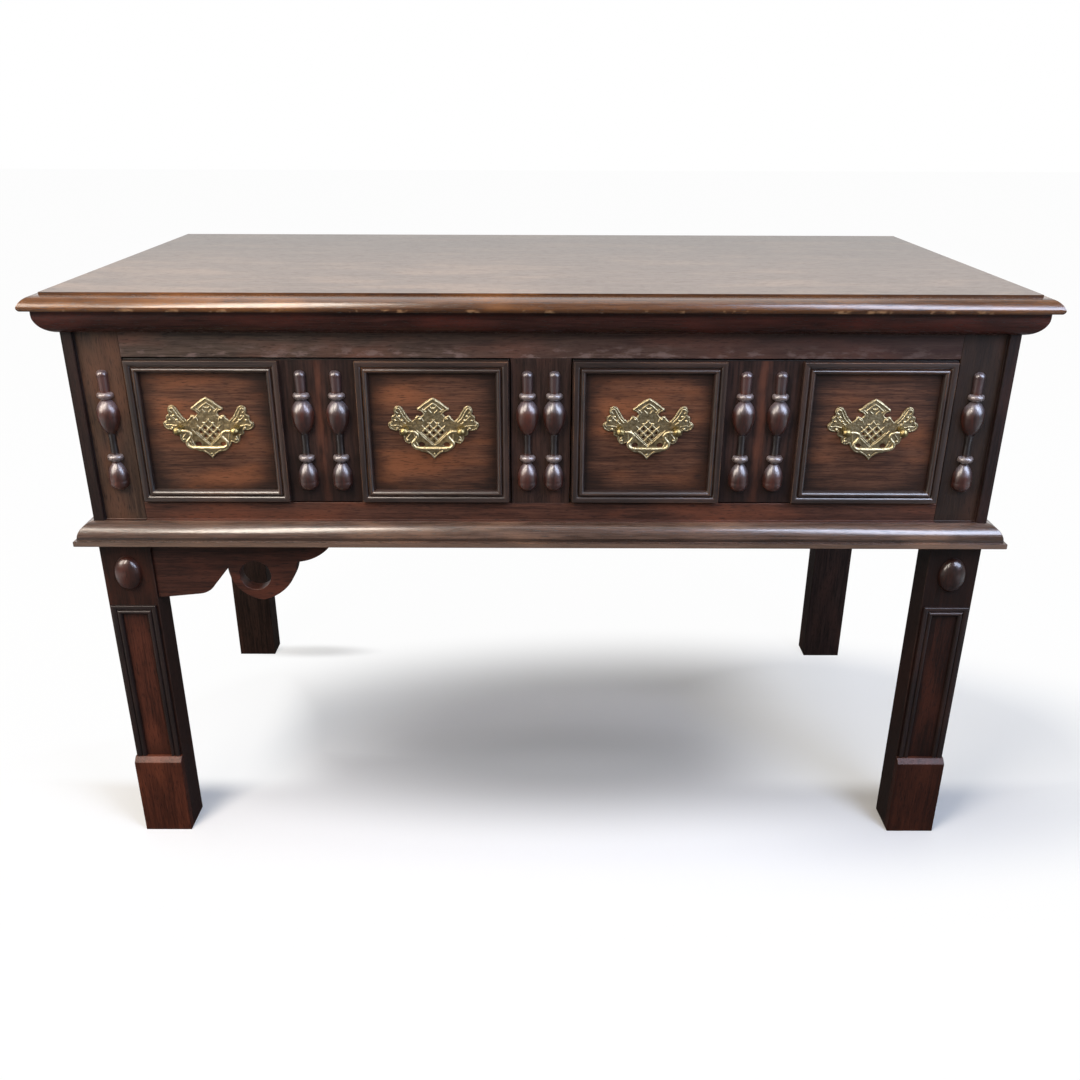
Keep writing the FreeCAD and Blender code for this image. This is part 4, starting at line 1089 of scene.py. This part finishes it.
def build_floor():
    """A white floor. Its soft shadow is the rendered one with a painted shadow in the floor's paint:
    deepest before the middle, and fading behind and beside the feet.
    """
    bpy.ops.object.select_all(action="DESELECT")
    bpy.ops.mesh.primitive_plane_add(size=FLOOR_SIZE)
    floor = bpy.context.object
    floor.name = "studio_floor"
    material, tree = new_tree("white_floor")
    seen = add(tree, "ShaderNodeLightPath", {}, out="Is Camera Ray")
    place = position(tree)
    around = oval(tree, SHADOW_OVAL, high=0.97)
    front = oval(tree, FRONT_OVAL, high=0.97)
    far = add(tree, "ShaderNodeMath", {0: around, 1: front}, operation="MINIMUM")
    left = fade(tree, place["X"], *LEFT_FADES, high=0.9)
    right = fade(tree, place["X"], *RIGHT_FADES, high=0.45)
    beside = add(tree, "ShaderNodeMath", {0: left, 1: right}, operation="MAXIMUM")
    behind = fade(tree, place["Y"], *BEHIND_FADES)
    beside = add(tree, "ShaderNodeMath", {0: beside, 1: behind}, operation="MULTIPLY")
    far = add(tree, "ShaderNodeMath", {0: far, 1: beside}, operation="MAXIMUM")
    rear_foot = oval(tree, REAR_FOOT_OVAL, low=0.5)
    far = add(tree, "ShaderNodeMath", {0: far, 1: rear_foot}, operation="MULTIPLY")
    far = add(tree, "ShaderNodeMath", {0: far, 1: seen}, operation="MULTIPLY")
    # Painted shadow: the floor's paint is greyer in one deep oval and in a wide one out to the right.
    outer = oval(tree, PAINTED_SIDE_SHADOW_OVAL)
    pale = mixed(tree, outer, linear("#dadada"), linear("#f4f4f4"))
    deep = oval(tree, PAINTED_SHADOW_OVAL)
    pale = mixed(tree, deep, linear("#b0b0b0"), pale)
    aside = off(tree, place["X"], 0.0, 1.0)
    bounce = mixed(tree, fade(tree, aside, *BOUNCE_FADES), linear("#5c5c5c"), linear("#d8d8d8"))
    grey = mixed(tree, seen, bounce, pale)
    paint = add(tree, "ShaderNodeBsdfDiffuse", {"Color": grey})
    white = add(tree, "ShaderNodeEmission", {"Color": linear("#ffffff"), "Strength": 1.0})
    add_surface(tree, add(tree, "ShaderNodeMixShader", {0: far, 1: paint, 2: white}))
    floor.data.materials.append(material)


def build_world():
    """A room that is white where the camera looks, dim in front of the piece, and bright behind it."""
    world = bpy.data.worlds.new("studio")
    bpy.context.scene.world = world
    world.use_nodes = True
    tree = world.node_tree
    tree.nodes.clear()
    path = add(tree, "ShaderNodeLightPath", {}).node
    seen = add(tree, "ShaderNodeMath", {
        0: path.outputs["Is Camera Ray"], 1: path.outputs["Is Transmission Ray"]}, operation="MAXIMUM")
    direction = add(tree, "ShaderNodeTexCoord", {}, out="Generated")
    depth = add(tree, "ShaderNodeSeparateXYZ", {"Vector": direction}, out="Y")
    glossy = fade(tree, depth, *SHINE_TURNS, low=FRONT_SHINE, high=BACK_SHINE)
    level = add(tree, "ShaderNodeMix", {0: path.outputs["Is Glossy Ray"], 2: ROOM_LEVEL, 3: glossy})
    level = add(tree, "ShaderNodeMix", {0: seen, 2: level, 3: 1.0})
    sky = add(tree, "ShaderNodeBackground", {"Color": linear("#ffffff"), "Strength": level})
    surface = tree.nodes.new("ShaderNodeOutputWorld")
    tree.links.new(sky, surface.inputs["Surface"])


def add_lamp(name, place, target, width, height, power, colour, dull=True, shiny=True):
    """A soft lamp, which can be left out of the light on dull faces or of the shine on polished ones."""
    bpy.ops.object.light_add(type="AREA", location=place)
    lamp = bpy.context.object
    lamp.name = name
    lamp.data.shape = "RECTANGLE"
    lamp.data.size = width
    lamp.data.size_y = height
    lamp.data.energy = power
    lamp.data.color = linear(colour)[:3]
    aim = Vector(target) - lamp.location
    lamp.rotation_euler = aim.to_track_quat("-Z", "Y").to_euler()
    lamp.visible_diffuse = dull
    lamp.visible_glossy = shiny


def build_camera():
    bpy.ops.object.camera_add(location=CAMERA_PLACE)
    camera = bpy.context.object
    turn = Matrix.Rotation(CAMERA_TURN, 3, "Z")
    tilt = Matrix.Rotation(QUARTER_TURN - CAMERA_PITCH, 3, "X")
    roll = Matrix.Rotation(CAMERA_ROLL, 3, "Z")
    camera.rotation_euler = (turn @ tilt @ roll).to_euler()
    camera.data.sensor_width = SENSOR_WIDTH
    camera.data.lens = FOCAL_LENGTH
    bpy.context.scene.camera = camera


def build_stage():
    build_floor()
    build_world()
    low_front = (0, -0.2, 0.5)
    drawers = (0, -0.3, 0.65)
    # The windows light the dull faces. Their panes, and strips at the sides, give the shine.
    add_lamp("left_window", place=(-1.1, -1.5, 2.15), target=low_front, width=0.8, height=1.5,
             power=48, colour=WARM_LIGHT, shiny=False)
    add_lamp("right_window", place=(1.2, -1.5, 2.15), target=low_front, width=0.8, height=1.5,
             power=40, colour=COOL_LIGHT, shiny=False)
    add_lamp("left_pane", place=(-0.86, -1.5, 2.15), target=(-0.2, -0.2, 0.5), width=0.4, height=1.5,
             power=40, colour=WARM_LIGHT, dull=False)
    add_lamp("right_pane", place=(1.14, -1.5, 2.15), target=(0.2, -0.2, 0.5), width=0.5, height=1.5,
             power=36, colour=PANE_LIGHT, dull=False)
    add_lamp("left_strip", place=(-1.5, -0.95, 1.35), target=drawers, width=0.8, height=1.1,
             power=30, colour=WARM_LIGHT, dull=False)
    add_lamp("right_strip", place=(1.5, -0.95, 1.35), target=drawers, width=0.8, height=1.1,
             power=30, colour=COOL_LIGHT, dull=False)
    add_lamp("overhead_lamp", place=(0.0, 0.3, 3.0), target=(0, 0, 0.5), width=2.4, height=2.4,
             power=33, colour="#ffffff")
    build_camera()
    bpy.context.scene.view_settings.view_transform = "Standard"


case_boards()
drawer_boards()
drawer_frames()
leg_frames()
backplates()
bails()
dress_nodes()
build_stage()
